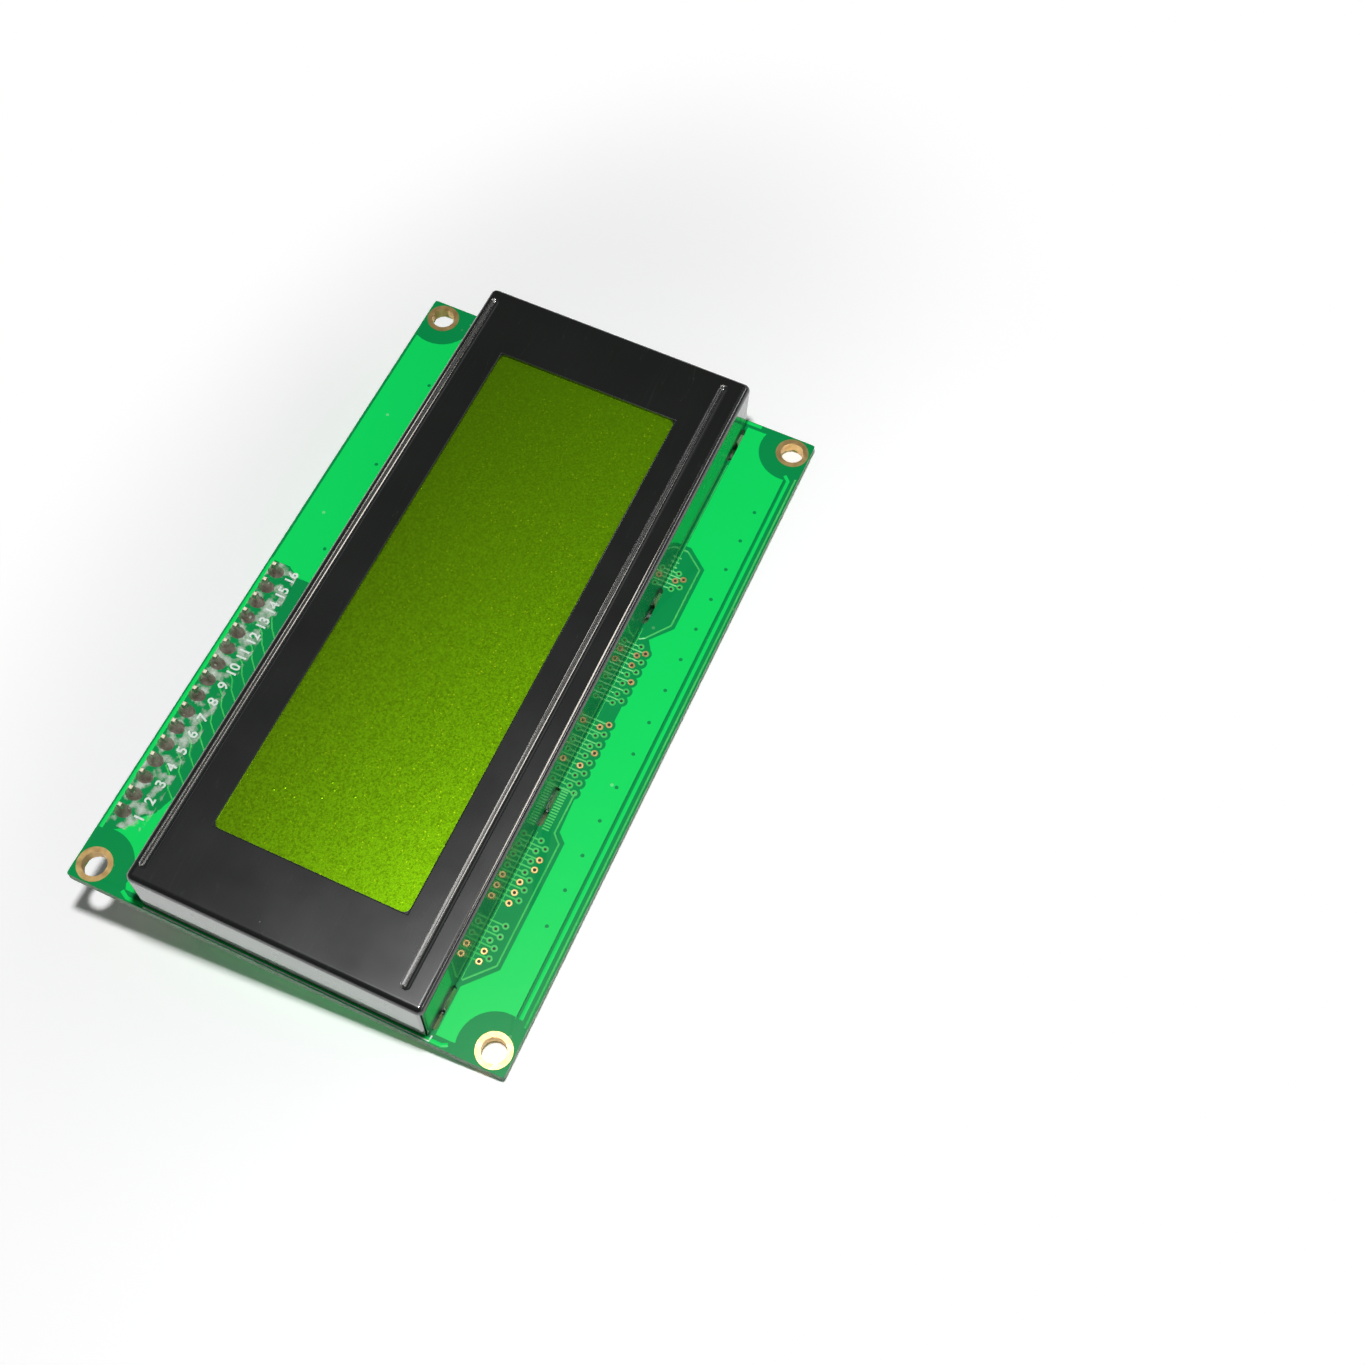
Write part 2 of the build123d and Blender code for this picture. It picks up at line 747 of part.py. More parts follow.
# Trimmer: ribbed housing, three legs and a slotted rotor that turns in a well in its top
with BuildPart() as trimmer_body:
    with BuildSketch(Plane.XY.offset(adapter_far_z)):
        with Locations((trimmer_x, trimmer_y)):
            Rectangle(trimmer_length, trimmer_width)
    extrude(amount=-trimmer_height)
    chamfer(trimmer_body.faces().sort_by(Axis.Z)[0].edges(), trimmer_edge)
    with BuildSketch(Plane.XY.offset(adapter_far_z)):
        with Locations((trimmer_x, trimmer_y)):
            with GridLocations(rib_pitch, trimmer_width, rib_count, 2):
                Rectangle(rib_width, 2 * rib_depth)
            with GridLocations(trimmer_length, rib_pitch, 2, rib_count):
                Rectangle(2 * rib_depth, rib_width)
    extrude(amount=-rib_height, mode=Mode.SUBTRACT)
    with BuildSketch(Plane.XY.offset(trimmer_top_z)):
        with Locations((trimmer_x, trimmer_y)):
            Circle(rotor_diameter / 2 + rotor_clearance)
    extrude(amount=rotor_depth + rotor_recess, mode=Mode.SUBTRACT)
save(trimmer_body, "trimmer_body")

with BuildPart() as trimmer_rotor:
    with BuildSketch(Plane.XY.offset(trimmer_top_z + rotor_recess)):
        with Locations((trimmer_x, trimmer_y)):
            Circle(rotor_diameter / 2)
    extrude(amount=rotor_depth)
    with BuildSketch(Plane.XY.offset(trimmer_top_z + rotor_recess)):
        with Locations((trimmer_x, trimmer_y)):
            Rectangle(rotor_diameter, rotor_slot)
            Rectangle(rotor_slot, rotor_diameter)
    extrude(amount=rotor_slot_depth, mode=Mode.SUBTRACT)
save(trimmer_rotor, "trimmer_rotor")

with BuildPart() as trimmer_legs:
    with BuildSketch(Plane.XY.offset(adapter_far_z)):
        with Locations(*trimmer_leg_places):
            Circle(trimmer_leg / 2)
    extrude(amount=adapter_thick + leg_tip)
save(trimmer_legs, "trimmer_legs")

# Port expander chip: moulded body with drafted sides, and two rows of gull wing leads
expander_base_z = adapter_far_z - expander_standoff
expander_mid_z = expander_base_z - expander_height / 2
with BuildPart() as expander_body:
    for level, inset in ((expander_base_z, expander_draft), (expander_mid_z, 0)):
        with BuildSketch(Plane.XY.offset(level)):
            with Locations((expander_x, expander_y)):
                Rectangle(expander_width - inset, expander_length - inset)
    loft()
    for level, inset in ((expander_mid_z, 0), (expander_mid_z - expander_height / 2, expander_draft)):
        with BuildSketch(Plane.XY.offset(level)):
            with Locations((expander_x, expander_y)):
                Rectangle(expander_width - inset, expander_length - inset)
    loft()
    with BuildSketch(Plane.XY.offset(expander_mid_z - expander_height / 2)):
        with Locations((expander_x + expander_width / 2 - key_inset, expander_y + expander_length / 2 - key_inset)):
            Circle(key_diameter / 2)
    extrude(amount=key_depth, mode=Mode.SUBTRACT)
save(expander_body, "expander_body")

with BuildPart() as expander_leads:
    root_x = expander_width / 2
    tip_x = root_x + gull_reach
    knee_x = tip_x - gull_foot
    for side in (-1, 1):
        for index in range(expander_lead_count):
            y = expander_y + lead_pitch * (index - (expander_lead_count - 1) / 2)
            with BuildSketch(Plane.XZ.offset(-y - gull_width / 2)):
                with BuildLine():
                    Polyline(
                        (expander_x + side * root_x, expander_mid_z + gull_thick / 2),
                        (expander_x + side * (knee_x - gull_thick), expander_mid_z + gull_thick / 2),
                        (expander_x + side * (knee_x - gull_thick), adapter_far_z),
                        (expander_x + side * tip_x, adapter_far_z),
                        (expander_x + side * tip_x, adapter_far_z - gull_thick),
                        (expander_x + side * knee_x, adapter_far_z - gull_thick),
                        (expander_x + side * knee_x, expander_mid_z - gull_thick / 2),
                        (expander_x + side * root_x, expander_mid_z - gull_thick / 2),
                        close=True,
                    )
                make_face()
            extrude(amount=gull_width)
save(expander_leads, "expander_leads")


def side_strip(label, rows, outer_x, outward):
    """Plastic strip of a right angle header, pierced by its level pins."""
    middle = outer_x - outward * strip_depth / 2
    with BuildPart() as strip:
        with BuildSketch(Plane.XY.offset(adapter_far_z)):
            notched_strip(len(rows), True, strip_depth, (middle, side_header_y))
        extrude(amount=-strip_height)
        with BuildSketch(Plane.YZ.offset(middle - strip_depth / 2)):
            with Locations(*[(y, side_pin_z) for y in rows]):
                Rectangle(pin_size, pin_size)
        extrude(amount=strip_depth, mode=Mode.SUBTRACT)
    save(strip, label)


def side_pins(label, rows, leg_x, tip_x, outward):
    """Square pins that run level through the strip and bend down through the adapter board."""
    half = pin_size / 2
    with BuildPart() as pins:
        for y in rows:
            with BuildSketch(Plane.XZ.offset(-y - half)):
                with BuildLine():
                    Polyline(
                        (leg_x - outward * half, leg_bottom_z),
                        (leg_x - outward * half, side_pin_z - half),
                        (tip_x - outward * pin_point, side_pin_z - half),
                        (tip_x, side_pin_z - half + pin_point),
                        (tip_x, side_pin_z + half - pin_point),
                        (tip_x - outward * pin_point, side_pin_z + half),
                        (leg_x + outward * half, side_pin_z + half),
                        (leg_x + outward * half, leg_bottom_z),
                        close=True,
                    )
                make_face()
            extrude(amount=pin_size)
        outer_x = leg_x - outward * half
        outer_bends = pins.edges().filter_by(Axis.Y).filter_by_position(Axis.X, outer_x, outer_x)
        fillet(outer_bends.group_by(Axis.Z)[0], pin_bend)
    save(pins, label)


side_strip("signal_strip", signal_rows, signal_outer_x, -1)
side_pins("signal_pins", signal_rows, signal_leg_x, signal_tip_x, -1)
side_strip("link_strip", link_rows, link_outer_x, 1)
side_pins("link_pins", link_rows, link_leg_x, link_tip_x, 1)

# Jumper cap: a plastic sleeve with a grip notch and two windows, and a pair of spring leaves inside
jumper_mouth = Plane.YZ.offset(jumper_near_x)
with BuildPart() as jumper_cap:
    with BuildSketch(jumper_mouth):
        with Locations((side_header_y, side_pin_z)):
            Rectangle(jumper_width, jumper_height)
    extrude(amount=jumper_length)
    chamfer(jumper_cap.edges().filter_by(Axis.X), jumper_edge)
    with BuildSketch(jumper_mouth):
        with Locations((side_header_y, side_pin_z)):
            Rectangle(jumper_cavity_width, jumper_cavity_height)
    extrude(amount=jumper_cavity_depth, mode=Mode.SUBTRACT)
    with BuildSketch(Plane.XY.offset(side_pin_z - jumper_height / 2)):
        for y in link_rows:
            with Locations((jumper_near_x + jumper_window_inset + jumper_window_length / 2, y)):
                Rectangle(jumper_window_length, jumper_window_width)
    extrude(amount=jumper_height / 2, mode=Mode.SUBTRACT)
    with BuildSketch(Plane.XY.offset(side_pin_z - jumper_height / 2)):
        with Locations((jumper_far_x - jumper_grip_depth / 2, side_header_y)):
            Rectangle(jumper_grip_depth, jumper_grip_width)
    extrude(amount=jumper_height, mode=Mode.SUBTRACT)
save(jumper_cap, "jumper_cap")

leaf_gap = pin_size / 2 + leaf_clearance
with BuildPart() as jumper_contact:
    with BuildSketch(Plane.XZ.offset(-side_header_y - leaf_width / 2)):
        with BuildLine():
            leaf_near = jumper_near_x + leaf_inset
            leaf_far = jumper_near_x + jumper_cavity_depth
            Polyline(
                (leaf_near, side_pin_z - leaf_gap),
                (leaf_far - leaf_thick, side_pin_z - leaf_gap),
                (leaf_far - leaf_thick, side_pin_z + leaf_gap),
                (leaf_near, side_pin_z + leaf_gap),
                (leaf_near, side_pin_z + leaf_gap + leaf_thick),
                (leaf_far, side_pin_z + leaf_gap + leaf_thick),
                (leaf_far, side_pin_z - leaf_gap - leaf_thick),
                (leaf_near, side_pin_z - leaf_gap - leaf_thick),
                close=True,
            )
        make_face()
    extrude(amount=leaf_width)
save(jumper_contact, "jumper_contact")

# Transistor: moulded body on three short leads
transistor_foot_z = adapter_far_z - transistor_lead_thick
with BuildPart() as transistor_body:
    with BuildSketch(Plane.XY.offset(transistor_foot_z)):
        with Locations((transistor_x, transistor_y)):
            Rectangle(transistor_width, transistor_length)
    extrude(amount=-transistor_height)
    chamfer(transistor_body.faces().sort_by(Axis.Z)[0].edges(), transistor_edge)
save(transistor_body, "transistor_body")

with BuildPart() as transistor_leads:
    with BuildSketch(Plane.XY.offset(adapter_far_z)):
        for side, y in ((1, transistor_pitch), (1, -transistor_pitch), (-1, 0)):
            with Locations((transistor_x + side * transistor_span / 4, transistor_y + y)):
                Rectangle(transistor_span / 2, transistor_lead)
    extrude(amount=-transistor_lead_thick)
save(transistor_leads, "transistor_leads")

# Solder on the hidden side of the adapter board, round the trimmer's legs and the side header legs
with BuildPart() as leg_solder:
    with BuildSketch(Plane.XY.offset(adapter_near_z)):
        with Locations(*side_leg_places):
            Circle(joint_base / 2)
        with Locations(*side_leg_places):
            Rectangle(pin_size, pin_size, mode=Mode.SUBTRACT)
        with Locations(*trimmer_leg_places):
            Circle(joint_base / 2)
        with Locations(*trimmer_leg_places):
            Circle(trimmer_leg / 2, mode=Mode.SUBTRACT)
    extrude(amount=leg_joint_height, taper=solder_slope)
save(leg_solder, "leg_solder")
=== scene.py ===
import bpy
from math import acos, copysign, cos, hypot, pi, radians, sin, tan
from mathutils import Matrix, Vector


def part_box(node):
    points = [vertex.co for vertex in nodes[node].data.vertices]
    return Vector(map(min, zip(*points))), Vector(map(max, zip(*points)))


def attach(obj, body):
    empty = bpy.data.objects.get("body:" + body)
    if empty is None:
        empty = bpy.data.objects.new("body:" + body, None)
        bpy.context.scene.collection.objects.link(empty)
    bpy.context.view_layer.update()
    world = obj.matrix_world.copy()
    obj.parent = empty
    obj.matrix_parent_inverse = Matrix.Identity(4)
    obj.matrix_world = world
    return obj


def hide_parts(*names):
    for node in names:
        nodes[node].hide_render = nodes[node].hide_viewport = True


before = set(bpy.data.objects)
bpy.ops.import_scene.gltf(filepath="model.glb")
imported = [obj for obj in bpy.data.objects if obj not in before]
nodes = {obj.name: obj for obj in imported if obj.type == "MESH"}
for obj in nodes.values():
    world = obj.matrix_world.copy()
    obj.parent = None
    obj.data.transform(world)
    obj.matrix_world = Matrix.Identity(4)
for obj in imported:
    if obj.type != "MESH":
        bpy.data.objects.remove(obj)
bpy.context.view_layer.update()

# Sizes below are millimetres, as on a drawing, and mm turns them to metres.
# The display faces +Z, and the pin header is along the +Y edge.
mm = 0.001
front_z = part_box("lcd_board")[1].z / mm
back_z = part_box("lcd_board")[0].z / mm
adapter_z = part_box("adapter_board")[0].z / mm
header_y = (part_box("header_pins")[0].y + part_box("header_pins")[1].y) / 2 / mm
half_pin = 0.32
first_pin_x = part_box("header_pins")[0].x / mm + half_pin
pin_pitch = 2.54
pour_rise = 0.02
trace_rise = 0.035
ink_rise = 0.02
front_copper, back_copper = front_z + pour_rise, back_z - pour_rise


def numbered(name, count):
    """The names of nodes that are numbered from 1."""
    return ["%s_%d" % (name, i + 1) for i in range(count)]


def middle(name):
    """The middle of a node, in millimetres."""
    low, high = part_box(name)
    return (low + high) / 2 / mm


# Finishes: small helpers for their nodes, then effects that several of them share
def paint(r, g, b):
    """A colour read from 0-255 values, as linear red, green and blue."""
    return tuple(((c / 255 + 0.055) / 1.055) ** 2.4 if c > 10 else c / 255 / 12.92 for c in (r, g, b)) + (1,)


def put(tree, socket, value):
    """Links an input to an output, or sets it to a plain value."""
    if isinstance(value, bpy.types.NodeSocket):
        tree.links.new(value, socket)
    else:
        socket.default_value = value


def add_node(tree, kind, **inputs):
    """A new node and what goes into it. From_Min stands for the input From Min."""
    node = tree.nodes.new("ShaderNode" + kind)
    for label, value in inputs.items():
        put(tree, node.inputs[label.replace("_", " ")], value)
    return node


def reckon(tree, operation, *values):
    """One step of arithmetic on outputs or plain numbers."""
    node = tree.nodes.new("ShaderNodeMath")
    node.operation = operation
    for socket, value in zip(node.inputs, values):
        put(tree, socket, value)
    return node.outputs[0]


def mix_colours(tree, share, first, second):
    """The second colour over the first, by a share from 0 to 1."""
    mix = tree.nodes.new("ShaderNodeMix")
    mix.data_type = "RGBA"
    for label, value in (("Factor", share), ("A", first), ("B", second)):
        put(tree, mix.inputs[label], value)
    return mix.outputs["Result"]


def mix_shaders(tree, share, first, second):
    """The second shader over the first, by a share from 0 to 1."""
    mix = tree.nodes.new("ShaderNodeMixShader")
    for socket, value in zip(mix.inputs, (share, first.outputs[0], second.outputs[0])):
        put(tree, socket, value)
    return mix


def new_group(name, output, **inputs):
    """An empty shader group that takes named numbers and gives one number."""
    group = bpy.data.node_groups.new(name, "ShaderNodeTree")
    for label, value in inputs.items():
        group.interface.new_socket(label, in_out="INPUT", socket_type="NodeSocketFloat").default_value = value
    group.interface.new_socket(output, in_out="OUTPUT", socket_type="NodeSocketFloat")
    return group, group.nodes.new("NodeGroupInput").outputs, group.nodes.new("NodeGroupOutput").inputs


def mottle_group():
    """Slow unevenness of a surface, from Low to High."""
    group, given, result = new_group("Mottle", "Value", Scale=300, Detail=3, Low=0, High=1)
    place = add_node(group, "TexCoord").outputs["Object"]
    noise = add_node(group, "TexNoise", Vector=place, Scale=given["Scale"], Detail=given["Detail"]).outputs["Fac"]
    spread = add_node(
        group, "MapRange", Value=noise, From_Min=0.3, From_Max=0.7, To_Min=given["Low"], To_Max=given["High"])
    put(group, result["Value"], spread.outputs["Result"])
    return group


def specks_group():
    """Small sparse specks, such as dust or bright grains: 1 on a speck and 0 between."""
    group, given, result = new_group("Specks", "Mask", Scale=900, Size=0.2, Share=0.2)
    place = add_node(group, "TexCoord").outputs["Object"]
    cells = add_node(group, "TexVoronoi", Vector=place, Scale=given["Scale"]).outputs
    near = reckon(group, "LESS_THAN", cells["Distance"], given["Size"])
    pick = add_node(group, "SeparateColor", Color=cells["Color"]).outputs["Red"]
    chosen = reckon(group, "LESS_THAN", pick, given["Share"])
    put(group, result["Mask"], reckon(group, "MULTIPLY", near, chosen))
    return group


def scratches_group():
    """Fine hairline scratches in two directions: 1 on a scratch and 0 between."""
    group, given, result = new_group("Scratches", "Mask", Scale=60, Share=0.03)
    place = add_node(group, "TexCoord").outputs["Object"]
    found = []
    for turn, stretch in ((0.5, (1, 22, 1)), (-0.9, (1, 30, 1))):
        turned_place = add_node(group, "Mapping", Vector=place, Rotation=(0, 0, turn), Scale=stretch).outputs["Vector"]
        noise = add_node(group, "TexNoise", Vector=turned_place, Scale=given["Scale"], Detail=1).outputs["Fac"]
        off_middle = reckon(group, "ABSOLUTE", reckon(group, "SUBTRACT", noise, 0.5))
        found.append(reckon(group, "LESS_THAN", off_middle, given["Share"]))
    put(group, result["Mask"], reckon(group, "MAXIMUM", *found))
    return group


mottle = mottle_group()
specks = specks_group()
scratches = scratches_group()


class Finish:
    """A material whose Principled shader gets its colour, roughness and bump from groups, step by step.

    Colours are 0-255 values, and each step gives the finish back, so that steps can follow one another.
    """

    def __init__(self, name, colour, roughness, metallic=0.0, specular=0.5, coat=0.0):
        self.material = bpy.data.materials.new(name)
        self.material.use_nodes = True
        self.tree = self.material.node_tree
        self.shader = self.tree.nodes["Principled BSDF"]
        self.plain(
            Base_Color=paint(*colour), Roughness=roughness, Metallic=metallic, Specular_IOR_Level=specular,
            Coat_Weight=coat, Coat_Roughness=0.08)

    def plain(self, **values):
        """Plain values on the shader's own inputs. Coat_IOR stands for the input Coat IOR."""
        for label, value in values.items():
            self.shader.inputs[label.replace("_", " ")].default_value = value
        return self

    def feed(self, label, output):
        """An output linked to one of the shader's inputs."""
        self.tree.links.new(output, self.shader.inputs[label])
        return self

    def mask(self, group, **values):
        """What a group puts out, placed in this material with its own values."""
        node = self.tree.nodes.new("ShaderNodeGroup")
        node.node_tree = group
        for label, value in values.items():
            node.inputs[label].default_value = value
        return node.outputs[0]

    def unevenness(self, scale, high=1, detail=3, low=0):
        """Slow unevenness from low to high."""
        return self.mask(mottle, Scale=scale, Detail=detail, Low=low, High=high)

    def tint(self, mask, colour, share=1.0):
        """Lays another colour over the first where the mask is."""
        base = self.shader.inputs["Base Color"]
        under = base.links[0].from_socket if base.is_linked else base.default_value
        if share < 1:
            mask = reckon(self.tree, "MULTIPLY", mask, share)
        return self.feed("Base Color", mix_colours(self.tree, mask, under, paint(*colour)))

    def clouds(self, scale, high, colour, share=1.0, detail=3):
        """Another colour in slow clouds."""
        return self.tint(self.unevenness(scale, high, detail), colour, share)

    def grains(self, scale, size, number, colour, share):
        """Another colour in small specks, of which there are few."""
        return self.tint(self.mask(specks, Scale=scale, Size=size, Share=number), colour, share)

    def gloss(self, scale, low, high, detail=3):
        """Roughness that wanders from low to high."""
        spread = add_node(self.tree, "MapRange", Value=self.unevenness(scale, detail=detail), To_Min=low, To_Max=high)
        return self.feed("Roughness", spread.outputs["Result"])

    def relief(self, scale, depth, strength):
        """A fine unevenness of the surface, its depth in millimetres."""
        bump = add_node(self.tree, "Bump", Height=self.unevenness(scale), Strength=strength, Distance=depth * mm)
        return self.feed("Normal", bump.outputs["Normal"])

    def along(self, axis):
        """The Object coordinate along one axis, in metres."""
        place = add_node(self.tree, "TexCoord").outputs["Object"]
        return add_node(self.tree, "SeparateXYZ", Vector=place).outputs[axis]

    def ramp(self, axis, start, end):
        """0 before start and 1 after end, both in millimetres along an axis."""
        spread = add_node(self.tree, "MapRange", Value=self.along(axis), From_Min=start * mm, From_Max=end * mm)
        return spread.outputs["Result"]


def cut_edges(finish, name):
    """1 on the four cut edges of a board."""
    tree, skin = finish.tree, 0.015 * mm
    low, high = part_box(name)
    sides = []
    for axis, start, end in (("X", low.x, high.x), ("Y", low.y, high.y)):
        place = finish.along(axis)
        ends = reckon(tree, "LESS_THAN", place, start + skin), reckon(tree, "GREATER_THAN", place, end - skin)
        sides.append(reckon(tree, "MAXIMUM", *ends))
    return reckon(tree, "MAXIMUM", *sides)


# Main board: dark green mask over bare laminate, brighter green over copper and traces, gold and white ink
mask_dark = Finish("mask_over_laminate", (6, 146, 76), 0.36, specular=0.12, coat=0.05)
mask_dark.clouds(90, 0.6, (8, 152, 78)).grains(700, 0.16, 0.06, (120, 190, 130), 0.4)
mask_dark.tint(cut_edges(mask_dark, "lcd_board"), (84, 168, 84)).relief(1200, 0.01, 0.3)
mask_bright = Finish("mask_over_copper", (12, 226, 98), 0.36, specular=0.14, coat=0.05)
mask_bright.clouds(60, 0.5, (12, 228, 104)).grains(500, 0.12, 0.04, (150, 235, 170), 0.5).relief(1000, 0.01, 0.3)
mask_trace = Finish("mask_over_trace", (84, 216, 110), 0.28, specular=0.4, coat=0.1)
mask_trace.clouds(200, 0.8, (46, 196, 90))
mask_line = Finish("mask_over_back_trace", (30, 214, 112), 0.28, specular=0.4, coat=0.1)
mask_line.clouds(200, 0.8, (20, 198, 98))
mask_pale = Finish("mask_over_tinned_trace", (110, 214, 110), 0.3, specular=0.4, coat=0.1)
mask_pale.clouds(300, 0.8, (70, 200, 100))
gold = Finish("gold_plating", (238, 204, 138), 0.4, metallic=0.8)
gold.clouds(900, 0.9, (214, 170, 104)).gloss(1500, 0.32, 0.5)
# Painted shade: a dark finish for the bottoms of the vias, where a hole would lie in shade
bore_shade = Finish("via_bore_shade", (20, 44, 24), 0.6).clouds(2000, 1, (52, 60, 30))
ink = Finish("white_ink", (238, 246, 240), 0.5, specular=0.3).clouds(2500, 0.7, (196, 226, 206))

# Bezel: smooth black enamel with a few hairlines and grains of dust, brighter where it was pressed
enamel = Finish("black_enamel", (10, 14, 10), 0.26, specular=0.9, coat=0.8).plain(Coat_Roughness=0.02)
enamel.clouds(60, 0.5, (14, 18, 14)).grains(300, 0.04, 0.05, (150, 150, 140), 0.6)
enamel.tint(enamel.mask(scratches, Scale=24, Share=0.0009), (70, 76, 74), 0.25).gloss(120, 0.25, 0.29)
polished = Finish("polished_enamel", (12, 16, 13), 0.22, specular=0.9, coat=1.0)
polished.plain(Coat_IOR=2.2, Coat_Roughness=0.09)

# Glass cell seen through its film: a fine sparkle, and painted shade that darkens it towards its upper edge and
# towards +X
film = Finish("polarising_film", (128, 186, 12), 0.36, metallic=0.58, specular=0)
film.clouds(4600, 0.75, (96, 146, 10), detail=1).clouds(40, 0.3, (104, 160, 10), detail=2)
film.grains(3000, 0.32, 0.07, (196, 226, 30), 0.75)
# Painted shade: the film's colour darkens towards its upper edge and towards +X
film.tint(film.ramp("Y", -12, 14), (90, 128, 10), 0.75).tint(film.ramp("X", 0, 60), (80, 128, 10), 0.4)
film.gloss(3400, 0.28, 0.46, detail=1).relief(5200, 0.006, 0.4)
glass = Finish("clear_glass", (255, 255, 255), 0.05).relief(80, 0.004, 0.2)
glass.plain(Base_Color=(0.75, 0.85, 0.7, 1), Transmission_Weight=0.9, IOR=1.5)

# Inside the bezel: layered rubber strips, and the backlight's board and block
contact_rubber = Finish("contact_rubber", (226, 120, 130), 0.6)
rubber_place = add_node(contact_rubber.tree, "TexCoord").outputs["Object"]
layers = add_node(contact_rubber.tree, "TexWave", Vector=rubber_place, Scale=3000)
layers.bands_direction = "X"
contact_rubber.tint(layers.outputs["Fac"], (70, 40, 44), 0.5)
white_board = Finish("backlight_board", (226, 226, 216), 0.5).clouds(300, 0.5, (206, 208, 190))
guide = Finish("milky_guide", (222, 224, 190), 0.4).clouds(80, 0.5, (206, 212, 168))
guide.plain(Subsurface_Weight=0.2, Subsurface_Scale=0.002)

# Pins and leads, and the header pins of the same metal, whose cut ends on the display side carry a painted highlight
tinned = Finish("tinned_pin", (206, 202, 190), 0.35, metallic=0.9)
tinned.clouds(1500, 0.9, (150, 142, 128)).gloss(2600, 0.24, 0.5)
pin_shine, end_skin = 0.9, 0.00006
pin_metal = Finish("header_pin", (206, 200, 186), 0.32, metallic=pin_shine).clouds(1500, 0.9, (150, 140, 124))
# Painted highlight: the cut ends are painted pale cream and lose their metallic look, so they read bright
cut_end_highlight = reckon(pin_metal.tree, "GREATER_THAN", pin_metal.along("Z"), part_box("header_pins")[1].z - end_skin)
pin_metal.tint(cut_end_highlight, (252, 242, 212)).gloss(2600, 0.22, 0.42)
pin_metal.feed("Metallic", reckon(pin_metal.tree, "SUBTRACT", pin_shine, cut_end_highlight))

solder = Finish("solder", (176, 160, 150), 0.34, metallic=0.35)
solder.clouds(1100, 1, (122, 104, 96)).grains(1500, 0.3, 0.12, (246, 246, 240), 0.7)
solder.gloss(1800, 0.22, 0.5).relief(1300, 0.05, 0.5)
bright_solder = Finish("bright_solder", (226, 226, 220), 0.28, metallic=0.8)
bright_solder.clouds(1100, 1, (150, 148, 140)).gloss(1800, 0.18, 0.45).relief(1300, 0.04, 0.4)
flux = Finish("flux_residue", (226, 240, 226), 0.35, specular=0.4)
flux.feed("Alpha", flux.unevenness(700, 0.6, detail=7, low=-0.45)).relief(1600, 0.04, 0.6)

# Black resin, black plastic and the black board of the adapter
resin = Finish("black_resin", (24, 26, 28), 0.42, specular=0.45)
resin.clouds(260, 0.8, (38, 42, 46)).grains(520, 0.1, 0.08, (120, 124, 124), 0.5).relief(1100, 0.03, 0.5)
moulded = Finish("black_moulding", (26, 27, 29), 0.45, specular=0.45)
moulded.clouds(500, 0.8, (42, 44, 46)).grains(700, 0.16, 0.1, (120, 122, 120), 0.4).relief(2200, 0.02, 0.5)
black_mask = Finish("black_mask", (10, 11, 13), 0.22, coat=0.4)
black_mask.clouds(160, 0.8, (18, 20, 22)).grains(600, 0.12, 0.1, (140, 142, 140), 0.5)
black_mask.tint(cut_edges(black_mask, "adapter_board"), (186, 186, 172))
black_mask.tint(black_mask.unevenness(900, 0.5, detail=2, low=-0.6), (30, 32, 30), 0.6)

# Chip parts, the trimmer and the jumper's contact
chip_glaze = Finish("resistor_glaze", (30, 31, 33), 0.3).clouds(900, 0.8, (48, 50, 52))
capacitor_body = Finish("capacitor_ceramic", (172, 116, 62), 0.4).clouds(1200, 0.8, (140, 92, 48))
lamp_lens = Finish("lamp_lens", (232, 222, 190), 0.3, coat=0.5).clouds(900, 0.8, (240, 236, 220))
blue = Finish("blue_moulding", (20, 122, 226), 0.3)
blue.clouds(300, 0.6, (12, 96, 200)).grains(800, 0.12, 0.1, (160, 200, 240), 0.4).relief(1800, 0.015, 0.4)
rotor_metal = Finish("rotor_bronze", (206, 180, 142), 0.4, metallic=0.7).clouds(1600, 1, (140, 112, 84))
brass = Finish("contact_brass", (230, 190, 120), 0.25, metallic=1.0).clouds(1500, 1, (190, 146, 86))

dressing = [
    (mask_dark, ["lcd_board"]),
    (gold, ["hole_plating", "tab_pads", "bare_pads"]),
    (enamel, ["bezel"]),
    (film, ["front_film", "rear_film"]),
    (glass, ["front_glass", "rear_glass"]),
    (contact_rubber, ["contact_strip_upper", "contact_strip_lower"]),
    (white_board, ["backlight_board"]),
    (guide, ["light_guide"]),
    (pin_metal, ["header_pins"]),
    (tinned, ["backlight_leads", "trimmer_legs", "expander_leads", "signal_pins", "link_pins", "transistor_leads"]),
    (bright_solder, ["backlight_solder", "board_solder", "adapter_solder", "leg_solder"]),
    (solder, ["header_solder_front", "header_solder_back", "address_pads"]),
    (resin, numbered("resin_drop", 5)),
    (chip_glaze, numbered("ladder_resistor", 5) + numbered("lamp_resistor", 2) + numbered("adapter_resistor", 7)),
    (chip_glaze, ["clock_resistor"]),
    (capacitor_body, ["decoupling_capacitor"]),
    (lamp_lens, ["power_lamp"]),
    (moulded, ["header_strip", "signal_strip", "link_strip", "jumper_cap", "expander_body", "transistor_body"]),
    (black_mask, ["adapter_board"]),
    (blue, ["trimmer_body"]),
    (rotor_metal, ["trimmer_rotor"]),
    (brass, ["jumper_contact"]),
]
for finish, names in dressing:
    for name in names:
        if not nodes[name].data.materials:
            nodes[name].data.materials.append(finish.material)
        for place in nodes[name].material_slots:
            place.material = finish.material


# Ways to make flat copper, ink and round pieces
def at(x, y, z):
    """A shift to a place in millimetres."""
    return Matrix.Translation((x * mm, y * mm, z * mm))


